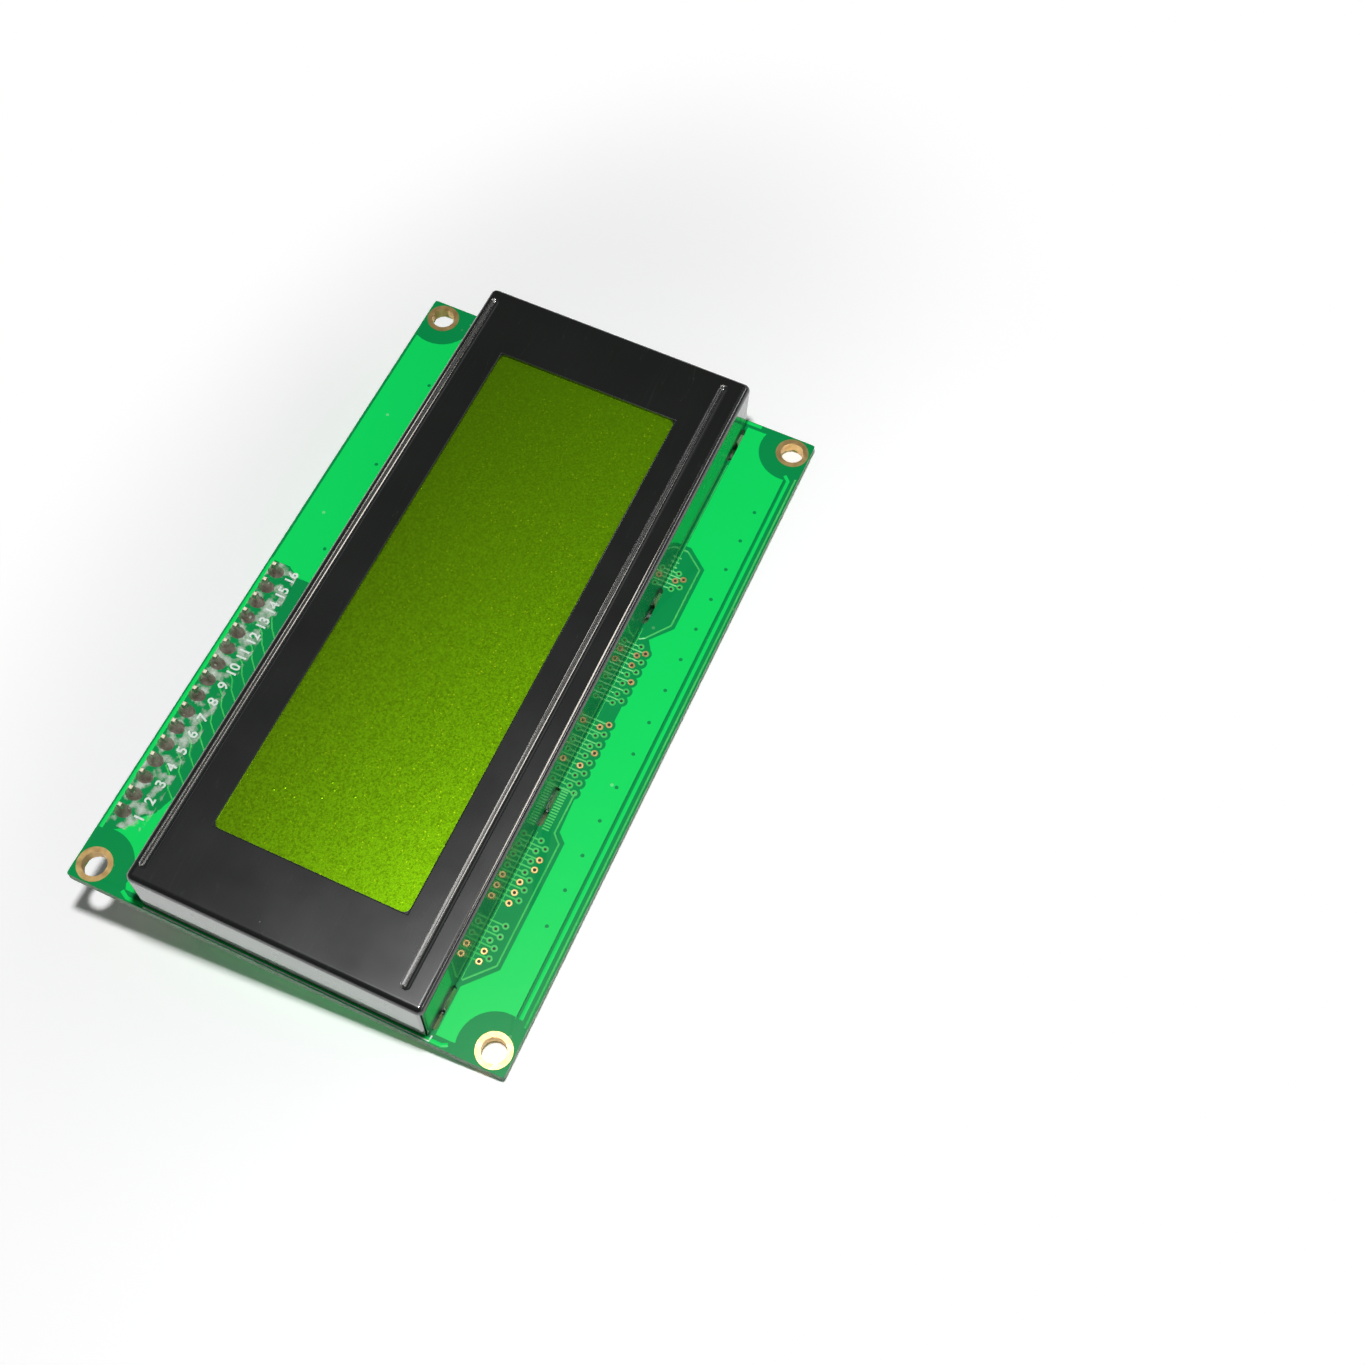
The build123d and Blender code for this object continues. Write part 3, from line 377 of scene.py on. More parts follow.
def in_scene(name, data):
    """A new object in the scene that holds a mesh, a curve, a lamp or a camera."""
    piece = bpy.data.objects.new(name, data)
    bpy.context.scene.collection.objects.link(piece)
    return piece


def deselect():
    """Takes every piece out of the selection."""
    for piece in bpy.context.selected_objects:
        piece.select_set(False)


def only(piece):
    """Selects one piece and makes it the active one."""
    deselect()
    piece.select_set(True)
    bpy.context.view_layer.objects.active = piece


def belongs(piece, finish):
    """A finished piece of the fixed body: its material set, and the piece attached to the module's body."""
    piece.data.materials.clear()
    piece.data.materials.append(finish.material)
    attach(piece, "module")
    return piece


def as_mesh(curve, name, place):
    """A curve made a mesh with flat faces, then put in its place."""
    only(in_scene(name, curve))
    bpy.ops.object.convert(target="MESH")
    piece = bpy.context.view_layer.objects.active
    piece.data.transform(place)
    for face in piece.data.polygons:
        face.use_smooth = False
    return piece


def strokes(curve, lines, closed):
    """Straight-sided lines drawn into a curve."""
    for line in lines:
        spline = curve.splines.new("POLY")
        spline.use_cyclic_u = closed
        spline.points.add(len(line) - 1)
        for point, (x, y) in zip(spline.points, line):
            point.co = (x * mm, y * mm, 0, 1)


def ribbons(name, lines, width, level, rise):
    """Raised lines such as traces or printed strokes: each line is a list of points in millimetres."""
    curve = bpy.data.curves.new(name, "CURVE")
    curve.dimensions = "3D"
    curve.twist_mode = "Z_UP"
    curve.bevel_depth = width / 2 * mm
    curve.bevel_resolution = 0
    curve.use_fill_caps = True
    strokes(curve, lines, False)
    return as_mesh(curve, name, at(0, 0, level) @ Matrix.Diagonal((1, 1, 2 * rise / width, 1)))


def areas(name, loops, level, thick):
    """Flat filled areas: outlines in millimetres, where a loop inside another is a hole."""
    curve = bpy.data.curves.new(name, "CURVE")
    curve.dimensions = "2D"
    curve.fill_mode = "BOTH"
    curve.extrude = thick / 2 * mm
    strokes(curve, loops, True)
    return as_mesh(curve, name, at(0, 0, level + thick / 2))


def circle(x, y, radius, count=32, start=0, end=360):
    """Points on a circle or an arc."""
    steps = count if end - start == 360 else count + 1
    turn = [radians(start + (end - start) * i / count) for i in range(steps)]
    return [(x + radius * cos(a), y + radius * sin(a)) for a in turn]


def printed(name, words, level, facing):
    """Printed numbers: (text, x, y, height, turn) in millimetres and degrees."""
    digit_share, boldness = 0.7, 0.03
    flip = Matrix.Identity(4) if facing > 0 else Matrix.Rotation(pi, 4, "Y")
    pieces = []
    for text, x, y, height, turn in words:
        deselect()
        bpy.ops.object.text_add()
        word = bpy.context.object
        word.data.body = text
        word.data.align_x = "CENTER"
        word.data.align_y = "CENTER"
        word.data.size = height * mm / digit_share
        word.data.extrude = ink_rise / 2 * mm
        word.data.offset = boldness * height * mm
        bpy.ops.object.convert(target="MESH")
        word = bpy.context.object
        word.data.transform(at(x, y, level) @ Matrix.Rotation(radians(turn), 4, "Z") @ flip)
        pieces.append(word)
    return joined(pieces, name)


def upright(height, *places):
    """Upright numbers of one height: (text, x, y) for each."""
    return [(text, x, y, height, 0) for text, x, y in places]


def joined(pieces, name):
    """Pieces made one, under a new name."""
    deselect()
    for piece in pieces:
        piece.select_set(True)
    bpy.context.view_layer.objects.active = pieces[0]
    bpy.ops.object.join()
    pieces[0].name = name
    return pieces[0]


def spread(pattern, places, level, name):
    """Copies of a modelled piece at (x, y) places on one level, joined, and the pattern itself removed."""
    copies = []
    for x, y in places:
        copy = in_scene(name, pattern.data.copy())
        copy.data.transform(at(x, y, level))
        copies.append(copy)
    bpy.data.objects.remove(pattern)
    return joined(copies, name)


def turned(name, profile, count=16, facing=1):
    """A round form drawn out of a circle: (radius, height) from its base to its top."""
    deselect()
    bpy.ops.mesh.primitive_circle_add(vertices=count, radius=profile[0][0] * mm, location=(0, 0, 0))
    piece = bpy.context.object
    bpy.ops.object.mode_set(mode="EDIT")
    bpy.ops.mesh.select_all(action="SELECT")
    for (r0, h0), (r1, h1) in zip(profile, profile[1:]):
        bpy.ops.mesh.extrude_region_move(TRANSFORM_OT_translate={"value": (0, 0, (h1 - h0) * mm * facing)})
        bpy.ops.transform.resize(value=(r1 / r0, r1 / r0, 1))
    bpy.ops.mesh.edge_face_add()
    bpy.ops.mesh.select_all(action="SELECT")
    bpy.ops.mesh.normals_make_consistent(inside=False)
    bpy.ops.object.mode_set(mode="OBJECT")
    piece.data.transform(at(0, 0, profile[0][1] * facing))
    piece.name = name
    return piece


def bundle(path, count, pitch):
    """Evenly spaced parallel lines that follow a path round its corners."""
    points = [Vector(point) for point in path]
    runs = [(b - a).normalized() for a, b in zip(points, points[1:])]
    lines = []
    for i in range(count):
        shift = (i - (count - 1) / 2) * pitch
        line = []
        for j, point in enumerate(points):
            before, after = runs[max(j - 1, 0)], runs[min(j, len(runs) - 1)]
            aside = Vector((-before.y - after.y, before.x + after.x)) / (1 + before.dot(after))
            line.append(tuple(point + aside * shift))
        lines.append(line)
    return lines


def stagger(first, last, pitch, y, stagger_y=None):
    """Places along a row, or in two rows that are half a pitch apart."""
    count = int(round(abs(last - first) / pitch)) + 1
    step = (last - first) / max(count - 1, 1)
    places = [(first + step * i, y) for i in range(count)]
    if stagger_y is not None:
        places += [(first + step * (i + 0.5), stagger_y) for i in range(count - 1)]
    return places


def zigzag(x, y, sway, step, count):
    """Places along a column, every other one pushed aside."""
    return [(x + sway * (i % 2), y + step * i) for i in range(count)]


def spaced(x, y, step_x, step_y, count):
    """Evenly spaced places that start at the first one."""
    return [(x + step_x * i, y + step_y * i) for i in range(count)]


def brackets(x0, y0, x1, y1, part=0.35):
    """Two facing square brackets round a chip part, open across its long sides."""
    if abs(x1 - x0) > abs(y1 - y0):
        reach = (x1 - x0) * part
        return [[(x + side * reach, y0), (x, y0), (x, y1), (x + side * reach, y1)] for x, side in ((x0, 1), (x1, -1))]
    reach = (y1 - y0) * part
    return [[(x0, y + side * reach), (x0, y), (x1, y), (x1, y + side * reach)] for y, side in ((y0, 1), (y1, -1))]


def brackets_round(name, across, along):
    """Brackets round a node, at two distances from its middle."""
    place = middle(name)
    return brackets(place.x - across, place.y - along, place.x + across, place.y + along)


def box(x0, y0, x1, y1):
    """A closed rectangle as one line."""
    return [(x0, y0), (x1, y0), (x1, y1), (x0, y1), (x0, y0), (x1, y0)]


def smooth(piece, angle=40):
    """Smooth shading, except at edges sharper than an angle in degrees."""
    only(piece)
    bpy.ops.object.shade_smooth_by_angle(angle=radians(angle))
    return piece


# Front of the main board: half sizes from its middle, and the rings left free round the mounting holes
hole_x, hole_y = 46.5, 27.5
board_x, board_y = 49, 30.0
bezel_y = 19.8
front_ring, pin_ring, back_ring = 4.7, 4.9, 4.6


def scallops(first, pitch, count, y, radius):
    """The lower edge of a row of round clearances, from left to right."""
    lean = acos(pitch / 2 / radius)
    points = []
    for i in range(count):
        for step in range(6):
            turn = pi + lean + (pi - 2 * lean) * step / 5
            points.append((first + pitch * i + radius * cos(turn), y + radius * sin(turn)))
    return points


# Bright copper areas
upper_via_y, lower_via_y = -21, -21.95
lower_pour = [
    (-41.3, -20.4), (-37.5, -23.8), (-19.6, -23.8), (-18.5, -22.6), *scallops(-13, 1.5, 8, lower_via_y, 0.86),
    *scallops(1.3, 1.52, 6, lower_via_y, 0.86), (11, -21.5), (13.9, -23.9), (23.9, -23.9), (26.3, -20.9),
    (26.3, -20.2), (45, -20.2), (47.9, -20.2), (47.9, -22.6), *circle(hole_x, -hole_y, front_ring, 14, 72, 188),
    (42.2, -28.1), (-42.2, -28.1), *circle(-hole_x, -hole_y, front_ring, 14, -8, 104), (-47.7, -22.4), (-47.7, -20.4),
]
upper_pour = [
    (0.6, 29.6), (0.6, 26.9), (-0.5, 25.1), (-0.5, 20.2), (48.3, 20.2), (48.3, 22.9),
    *circle(hole_x, hole_y, front_ring, 12, -72, -204), (42.2, 29.6),
]
pin_pour = [
    (-30.2, 20.2), (-33.8, 23), (-37.6, 24.3), (-38.8, 25.6), (-41, 26.9),
    *circle(-hole_x, hole_y, pin_ring, 12, 4, -96), (-47.7, 22.3), (-47.7, 20.2),
]
front_pours = areas("front_copper_areas", [lower_pour, upper_pour, pin_pour], front_z, pour_rise)
belongs(front_pours, mask_bright)

# Border traces, and the traces that step round the via groups inside a dark channel
border = [
    [(-48, 22.6), (-48.55, 21.6), (-48.55, -21.6), (-48.2, -22.3)],
    [(-41.9, -28.75), (41.9, -28.75), (42.6, -28)],
    [(48.65, 22), (48.65, -22)],
    [(-42, 29.5), (0.8, 29.5)],
]
belongs(ribbons("front_border_traces", border, 0.5, front_z, trace_rise), mask_bright)
thin_border = [
    [(-42.6, -29.6), (42.6, -29.6)],
    [(-40.5, -20.2), (-37.2, -23.2), (-20, -23.2), (-18.9, -22.05), (-12.8, -22.05)],
    [(10.6, -20.2), (11, -20.9), (14.2, -23.3), (23.6, -23.3), (25.6, -20.7), (25.6, -20.2)],
]
belongs(ribbons("front_channel_traces", thin_border, 0.24, front_z, trace_rise), mask_trace)

# Vias: an upper and a lower row in each group, each with its short trace from under the bezel
via_rows = [
    ([-37.6, -36.2, -34.7, -33.1], [-36.8, -35.4, -33.8, -32.3]),
    ([-29.5, -28, -26.5, -25.1, -23.5, -22, -20.5], [-28.7, -27.2, -25.8, -24.3, -22.9, -21.3]),
    ([-12.25, -10.7, -9.2, -7.7, -6.25, -4.6, -3.25], [-13, -11.5, -10, -8.4, -6.9, -5.6, -4, -2.5]),
    ([0.6, 2, 3.7, 5.1, 6.6, 8.2, 9.6], [1.3, 2.8, 4.3, 5.9, 7.5, 8.9]),
    ([19.3, 20.7, 21.9], [20, 21.3]),
]
bare_vias = {-37.6, -36.2, -29.5, -28, -26.5, -24.3, -22.9, -9.2, -3.25, -6.9, -2.5, 6.6, 8.2, 4.3, 8.9, 20.7, 21.3}
front_stubs, gold_places, green_places = [], [], []
for upper, lower in via_rows:
    for row, y in ((upper, upper_via_y), (lower, lower_via_y)):
        for x in row:
            front_stubs.append([(x, -19.85), (x, y + 0.3)])
            (gold_places if x in bare_vias else green_places).append((x, y))
front_stubs += [[(-18.9 + 0.4 * i, -20.35), (-18.9 + 0.4 * i, -21.3)] for i in range(16)]
front_stubs += [[(22.6 + 0.8 * i, -19.9), (22.6 + 0.8 * i, -20.4)] for i in range(3)]
belongs(ribbons("front_via_traces", front_stubs, 0.22, front_z, trace_rise), mask_trace)


def vias(name, places, level, finish, facing=1):
    """Raised rings that dip to a bore. The bottom of each, its only face of many sides, is painted dark as the shade
    inside a hole.
    """
    ring = turned(name + "_pattern", [(0.46, 0), (0.42, 0.045), (0.24, 0.045), (0.2, 0.012)], 12, facing)
    group = spread(ring, places, level, name)
    belongs(group, finish)
    group.data.materials.append(bore_shade.material)
    for face in group.data.polygons:
        if len(face.vertices) > 4:
            face.material_index = 1


vias("front_gold_vias", gold_places, front_z, gold)
vias("front_green_vias", green_places, front_z, mask_trace)
dimples = [(x, -26.5) for x in (-30.2, -25.1, -20.1, -15, -10, -4.9, 0, 5.1, 10.1, 15.1, 20.1, 25.2, 30.2, 35.2)]
dimples += [(-44.6, 24.5), (-48.2, 11), (5, 24), (20, 24.2), (35, 23.8)]
dimple = turned("dimple_pattern", [(0.26, pour_rise), (0.2, pour_rise + 0.01), (0.1, pour_rise + 0.004)], 10)
belongs(spread(dimple, dimples, front_z, "front_filled_vias"), mask_dark)

# Header traces fan out from the pins and run down to the left, under the bezel
pins_x = [first_pin_x + pin_pitch * i for i in range(16)]
fan = []
for i, x in enumerate(pins_x[3:14]):
    fan.append([(x, 26.6), (x - 1.2, 25.2), (x - 2.6, 24.75 - 0.04 * i), (x - 3.9, 23.2), (x - 3.9, 19.9)])
belongs(ribbons("front_header_traces", fan, 0.2, front_z, 0.028), mask_trace)

# A pale line round the foot of the bezel, open at the tab slots, then a white line beside it and the pin numbers
foot_gap, flux_level = 0.28, 0.06
foot_y = bezel_y + foot_gap
foot = [
    [(-40.5, -foot_y), (-19.6, -foot_y)], [(-12.2, -foot_y), (12.2, -foot_y)], [(19.6, -foot_y), (40.8, -foot_y)],
    [(48.8, -15), (48.8, 15)],
]
belongs(ribbons("front_foot_line", foot, 0.12, front_copper, ink_rise), mask_trace)
side_line = [[(-48.76, 19.2), (-48.76, -20), (-48, -20.08)]]
belongs(ribbons("front_side_line", side_line, 0.2, front_copper, ink_rise), ink)
pin_numbers = [(str(i + 1), x, 25.7, 1.35, 0) for i, x in enumerate(pins_x)]
belongs(printed("front_pin_numbers", pin_numbers, front_z + flux_level + 0.02, 1), ink)


# Solder of the pin header
def mound(name, facing):
    """A soldered joint: a wide foot, a hollow flank and a rounded neck round the pin, longer across the row."""
    profile = [(1, 0), (0.94, 0.1), (0.8, 0.32), (0.66, 0.62), (0.56, 0.95), (0.46, 1.28), (0.36, 1.42)]
    joint = turned(name, profile, 14, facing)
    joint.data.transform(Matrix.Diagonal((0.94, 1.2, 1, 1)))
    return smooth(joint)


lean_y = 0.15
front_places, back_places = [(x, header_y + lean_y) for x in pins_x], [(x, header_y) for x in pins_x]
front_joints = spread(mound("front_joint", 1), front_places, front_z, "front_header_joints")
belongs(front_joints, solder)
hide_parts("header_solder_front")
back_joints = spread(mound("back_joint", -1), back_places, adapter_z, "back_header_joints")
belongs(back_joints, bright_solder)
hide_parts("header_solder_back")


def merged_copy(name, node):
    """A copy of a solid's mesh with its loose triangles joined up."""
    merge_gap = 0.000001
    piece = in_scene(name, nodes[node].data.copy())
    only(piece)
    bpy.ops.object.mode_set(mode="EDIT")
    bpy.ops.mesh.select_all(action="SELECT")
    bpy.ops.mesh.remove_doubles(threshold=merge_gap)
    bpy.ops.object.mode_set(mode="OBJECT")
    return piece


def evened(piece):
    """Smooth folds beside flat faces that stay flat."""
    smooth(piece, 30)
    even = piece.modifiers.new("even", "WEIGHTED_NORMAL")
    even.keep_sharp = True
    even.weight = 100
    return piece


# Main board: a copy of the solid whose four corners are cut almost square
corner, squareness = 0.8, 0.8
# Offsets and heights below this many millimetres count as none
least = 0.001
square_board = merged_copy("square_board", "lcd_board")
for vertex in square_board.data.vertices:
    x, y = abs(vertex.co.x) / mm - board_x + corner, abs(vertex.co.y) / mm - board_y + corner
    if x > least and y > least:
        stretch = (hypot(x, y) / max(x, y)) ** squareness
        vertex.co.x = copysign((board_x - corner + x * stretch) * mm, vertex.co.x)
        vertex.co.y = copysign((board_y - corner + y * stretch) * mm, vertex.co.y)
belongs(evened(square_board), mask_dark)
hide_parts("lcd_board")

# Bezel: a copy of the solid whose two pressed lines are turned down into the sheet, each lined by a smooth groove
ridge_height = 0.35
bezel_face_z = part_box("bezel")[1].z / mm - ridge_height
glass_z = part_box("front_glass")[1].z / mm
groove_rows = (18.35, -16.5)
groove_run = 46.04
# How steep the trough falls, in degrees, at each distance from its middle line
groove_flanks = [(0.66, 0), (0.63, 11), (0.52, 16), (0.47, 36), (0.23, 38), (0.18, 16), (0.04, 11), (0.01, 0)]


def grooved_sheet():
    """The folded sheet with its raised lines pressed the other way."""
    sheet = merged_copy("grooved_bezel", "bezel")
    ridge_reach, hollow_reach, press = groove_flanks[0][0], 0.4, 1.5
    turned_down = set()
    for vertex in sheet.data.vertices:
        height = vertex.co.z / mm - bezel_face_z
        aside = min(abs(vertex.co.y / mm - y) for y in groove_rows)
        if aside < ridge_reach and height > least:
            vertex.co.z = (bezel_face_z - press * height) * mm
            turned_down.add(vertex.index)
        elif aside < hollow_reach and -0.3 < height < -0.05:
            vertex.co.z = (glass_z + 0.01) * mm
    evened(sheet)
    for face in sheet.data.polygons:
        if turned_down.intersection(face.vertices):
            face.use_smooth = False
    return sheet


def groove(name, y):
    """A smooth trough with round ends."""
    profile, depth = [(groove_flanks[0][0], 0)], 0.0
    for (outer, first), (inner, second) in zip(groove_flanks, groove_flanks[1:]):
        depth -= tan(radians((first + second) / 2)) * (outer - inner)
        profile.append((inner, depth))
    sides = 32
    trough = turned(name, profile, sides)
    trough.data.transform(Matrix.Rotation(pi / sides, 4, "Z"))
    for vertex in trough.data.vertices:
        vertex.co.x += groove_run * mm * (1 if vertex.co.x > 0 else -1)
    trough.data.transform(at(0, y, bezel_face_z))
    if sum(face.normal.z for face in trough.data.polygons) < 0:
        trough.data.flip_normals()
    return belongs(smooth(trough, 80), polished)


bezel = belongs(grooved_sheet(), enamel)
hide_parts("bezel")

# The polished upper part of the fold at the long edge away from the header
fold_y, fold_z, fold_radius, fold_run = -18.9, 10.05, 0.912, 47.55
slopes = [radians(2 + 3 * i) for i in range(15)]
fold_points = [
    Vector((x, fold_y - fold_radius * sin(slope), fold_z + fold_radius * cos(slope))) * mm
    for slope in slopes for x in (-fold_run, fold_run)]
fold_mesh = bpy.data.meshes.new("polished_fold")
fold_mesh.from_pydata(fold_points, [], [(2 * i, 2 * i + 2, 2 * i + 3, 2 * i + 1) for i in range(len(slopes) - 1)])
polished_fold = in_scene("polished_fold", fold_mesh)
belongs(smooth(polished_fold), polished)

# The two grooves and that fold in one group, which a lamp further down lights alone
pressed_lines = bpy.data.collections.new("pressed_lines")
pressed_lines.objects.link(polished_fold)
for name, y in zip(("upper_groove", "lower_groove"), groove_rows):
    pressed_lines.objects.link(groove(name, y))

# The cut edge of the window, which catches the light as a thin line
window = (-38.58, -12.78, 38.58, 13.58)
belongs(ribbons("window_edge", [box(*window)], 0.16, bezel_face_z, 0.03), polished)

# Cloudy flux residue left between the joints and over the numbers
flux_patch = [
    (-41.2, 29.2), (-41, 24.9), (-38.4, 24.5), (-30, 24.6), (-20, 24.9), (-8, 24.7), (0.4, 25.2), (0.6, 29.3)]
belongs(areas("front_flux_residue", [flux_patch], front_z + flux_level, 0.01), flux)

# Small bubbles trapped under the film near one corner of the window
film_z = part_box("front_film")[1].z / mm
bubble = smooth(turned("bubble_pattern", [(0.24, -0.01), (0.17, 0.02), (0.08, 0.03)], 10), 80)
bubble_places = [(-31.2, 9.5), (-31, 6.8), (-29.7, 3.7), (-27.4, 3.5), (-28.2, 2.8), (-27.9, 0.1), (-30.4, 8.4)]
belongs(spread(bubble, bubble_places, film_z, "film_bubbles"), film)

# Back of the main board: the middle and the radius of each resin drop, by its number
drops = {}
for number in range(1, 6):
    low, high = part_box("resin_drop_%d" % number)
    drops[number] = ((low.x + high.x) / 2 / mm, (low.y + high.y) / 2 / mm, (high.x - low.x) / 2 / mm)


def around(number, start, end, count, reach=0.25):
    """Points on the rim of a resin drop, from one angle to another."""
    x, y, radius = drops[number]
    return circle(x, y, radius + reach, count - 1, start, end)


def spokes(number, start, end, ends, bend):
    """Traces from the rim of a resin drop: out to a bend part of the way, then on to each end."""
    lines = []
    for (x0, y0), (x1, y1) in zip(around(number, start, end, len(ends)), ends):
        lines.append([(x0, y0), (x1, y0 + (y1 - y0) * bend), (x1, y1)])
    return lines


# Copper over the whole back, with clearances for the fanned traces and round the holes
back_outline = [
    (-48.4, -29.4), *circle(-hole_x, -hole_y, back_ring, 10, -22, 112), (-48.4, -22), (-48.4, 22),
    *circle(-hole_x, hole_y, back_ring, 10, -112, 22), (-41, 29.4), (41, 29.4),
    *circle(hole_x, hole_y, back_ring, 10, 158, 292), (48.4, 22), (48.4, -22),
    *circle(hole_x, -hole_y, back_ring, 10, 68, 202), (41, -29.4),
]
back_clearing = [
    (-10.2, 16.9), (9.3, 16.9), (11.1, 15), (31.1, 15), (35.8, 10.2), (38.5, 8.7), (41.6, 8.2), (42.3, 7.5),
    (42.3, 4.2), (41.7, 3), (37.1, 3), (36.4, 3.8), (36.4, 4.9), (34.9, 5), (28, 11.7), (18.9, 11.7),
    (18.9, 7.9), (17.6, 6.9), (15.2, 6.7), (17.1, 3.7), (16.8, 2.9), (20.5, 7), (28.5, 7), (30.1, 5.5),
    (32.8, 4.2), (34.1, 4.2), (35.5, 3.1), (35.5, -0.9), (37.3, -4.1), (36.5, -4.9), (34.7, -5.1), (34.7, -7),
    (33.9, -8.2), (22.9, -8.2), (22.1, -7.3), (17.3, -7.3), (22.8, -13.7), (22.9, -21.9), (22.1, -22.9), (19.7, -22.5),
    (19.5, -21.3), (12.8, -21.3), (12.1, -22.2), (10.3, -24.2), (-12.3, -24.2), (-13.1, -23), (-13.1, -21.6),
    (-19.8, -21.2), (-20.4, -22.6), (-29.3, -22.6), (-30, -21.6), (-29.9, -16.5), (-28.3, -14.9), (-31.4, -14),
    (-31.7, -14.8), (-31.6, -22.3), (-37.5, -22.3), (-38.1, -21.4), (-38.1, -13.4), (-34.1, -9.5), (-34.7, -7.8),
    (-34.6, -6.1), (-34.2, -3.2), (-34.6, -2), (-32.9, -0.6), (-26.6, -0.6), (-21.7, -5.7), (-20.7, -7.1),
    (-13.7, -7.1), (-12.4, -8.3), (-11.8, -6.1), (-10.2, -5.1), (-10.5, -1.5), (-25.1, -1.5), (-25.3, 1.7),
    (-23.9, 2), (-23.9, 5.2), (-28.8, 5.2), (-29.1, 5.5), (-29.1, 12.3),
]
side_clearing = [
    (-35.9, 11.8), (-46, 11.8), (-46, 5.8), (-39.8, -0.3), (-36.7, -0.3), (-36.7, 2.6), (-37.3, 4.1), (-35.9, 5.1)]


def slot(x, y, reach=2.38, radius=0.67):
    """The outline of a slot with round ends."""
    return circle(x + reach, y, radius, 8, -90, 90) + circle(x - reach, y, radius, 8, 90, 270)


slots = [slot(x, y) for x in (44.4, -44.4) for y in (19.55, -19.55)] + [slot(x, 19.55) for x in (15.9, -15.9)]
back_loops = [back_outline, back_clearing, side_clearing, *slots]
belongs(areas("back_copper_areas", back_loops, back_copper, pour_rise), mask_bright)

# Dark channels in that copper, between its wide traces
channels = bundle([(0.6, 26.2), (25.6, 26.2), (36.6, 15.4), (42.5, 15.4), (44.6, 13.6)], 3, 1.05)
channels += [
    [(0.6, 22.4), (0.6, 18.2), (12.6, 18.2), (20.6, 18.2), (21.6, 19.6)],
    [(22.4, 16.4), (21.2, 17.6), (21.2, 19.8), (19.6, 20.4)],
    [(38.6, 19.6), (40.4, 17.9), (47.2, 17.9)],
    [(48, 5.6), (45.6, 5.6), (43.9, 3.6), (43.9, -8), (45.4, -9.6), (48, -9.6)],
    [(-41, -17.4), (-40.2, -18.6), (-40.2, -20.6), (-41.4, -22), (-42.6, -23.6)],
    [(39.4, -16.2), (40.4, -17.4), (40.4, -20.2), (39, -20.6)],
    [(-48, 26.8), (-47, -22.4)],
]
back_edge = [box(-48.1, -29.1, 48.1, 29.1)]
belongs(ribbons("back_channels", channels, 0.3, back_copper, 0.006), mask_dark)
belongs(ribbons("back_border", back_edge, 0.22, back_copper, 0.005), mask_dark)
mask_skin = 0.006
patches = [
    [(40.3, -22.7), (25.3, -22.7), (25.3, -26.7), (40.3, -26.7)],
    [(48.8, 5.2), (45.8, 5.2), (44.2, 3.4), (44.2, -7.8), (45.6, -9.3), (48.8, -9.3)],
]
belongs(areas("back_bare_patches", patches, back_copper - mask_skin, mask_skin), mask_dark)

# Vias of the back: rows below the resin drops, columns beside them and curves where the spokes end
back_rows = []
for via_row in (
        (14, -1.9, 1.33, 0.6, -0.46), (-11.3, -24.6, 1.33, 0.45, -0.64), (34.3, 23.2, 1.31, -6.6, -7.7),
        (9.9, 0.8, 1.45, -21.2, -22.1), (-2.9, -11.9, 1.5, -21.2, -22.1), (-20.4, -29.2, 1.45, -21.2, -22.1),
        (-32.4, -37.6, 1.5, -21.2, -22.1), (37.4, 41.6, 1.4, 4.4, 3.6), (15.9, 21.3, 1.35, -5.6, -6.4)):
    back_rows += stagger(*via_row)
back_rows += zigzag(18.3, 11.1, -0.9, -0.93, 5) + [(14.0 + 0.15 * i * i, 6.6 - 0.87 * i) for i in range(5)]
for column in (
        (-9.9, 10.6, 1.1, -0.66, 13), (-9.6, -1.3, 1.1, -0.78, 9), (-3.2, -1.3, 0.9, -0.68, 10),
        (11.2, -1.4, 0.9, -0.7, 6), (-32.5, -1.1, -1.1, -0.82, 10), (34, 3.2, 0.6, -0.75, 6)):
    back_rows += zigzag(*column)
back_rows += spaced(34.3, -1.6, 0.45, -0.75, 4) + zigzag(-37.3, 8.45, -0.9, -0.73, 6)
back_rows += spaced(-38.1, 9.2, -1.55, 0, 4) + spaced(-12.5, -13.6, -0.75, 0.85, 5)
back_rows += spaced(-17.9, -11.6, -0.85, -0.6, 5) + spaced(12.6, -11.6, -0.8, -0.65, 5)
back_rows += [(16.1, -11.9), (17.5, -13.5), (18.4, -14.5), (19.2, -13.6), (22.3, -22)]
green_places = [place for i, place in enumerate(back_rows) if i % 3]
vias("back_gold_vias", back_rows[::3], back_z, gold, facing=-1)
vias("back_green_vias", green_places, back_z, mask_trace, facing=-1)
tented = [(x, 28.2) for x in (37, 32, 27, 22)] + [(x, 23.5) for x in (22, 17, 12, 7)]
tented += [(x, -26.8) for x in range(-35, 25, 5)] + [(-44, 16), (43.4, 8.8), (35.8, 8.2)]
tented_dot = turned("tented_pattern", [(0.3, pour_rise), (0.24, pour_rise + 0.012), (0.1, pour_rise + 0.004)], 10, -1)
belongs(spread(tented_dot, tented, back_z, "back_filled_vias"), mask_dark)


# Fine traces: buses across the board, and traces from the rim of each resin drop to its vias
def slanted(number, start, end, first, step, count, low):
    """Traces from the rim of a drop: slanting down to the side, then straight down to one level."""
    lines = []
    for i, (x, y) in enumerate(around(number, start, end, count)):
        side = first + step * i
        lines.append([(x, y), (side, max(y - (x - side), low + 0.1)), (side, low)])
    return lines


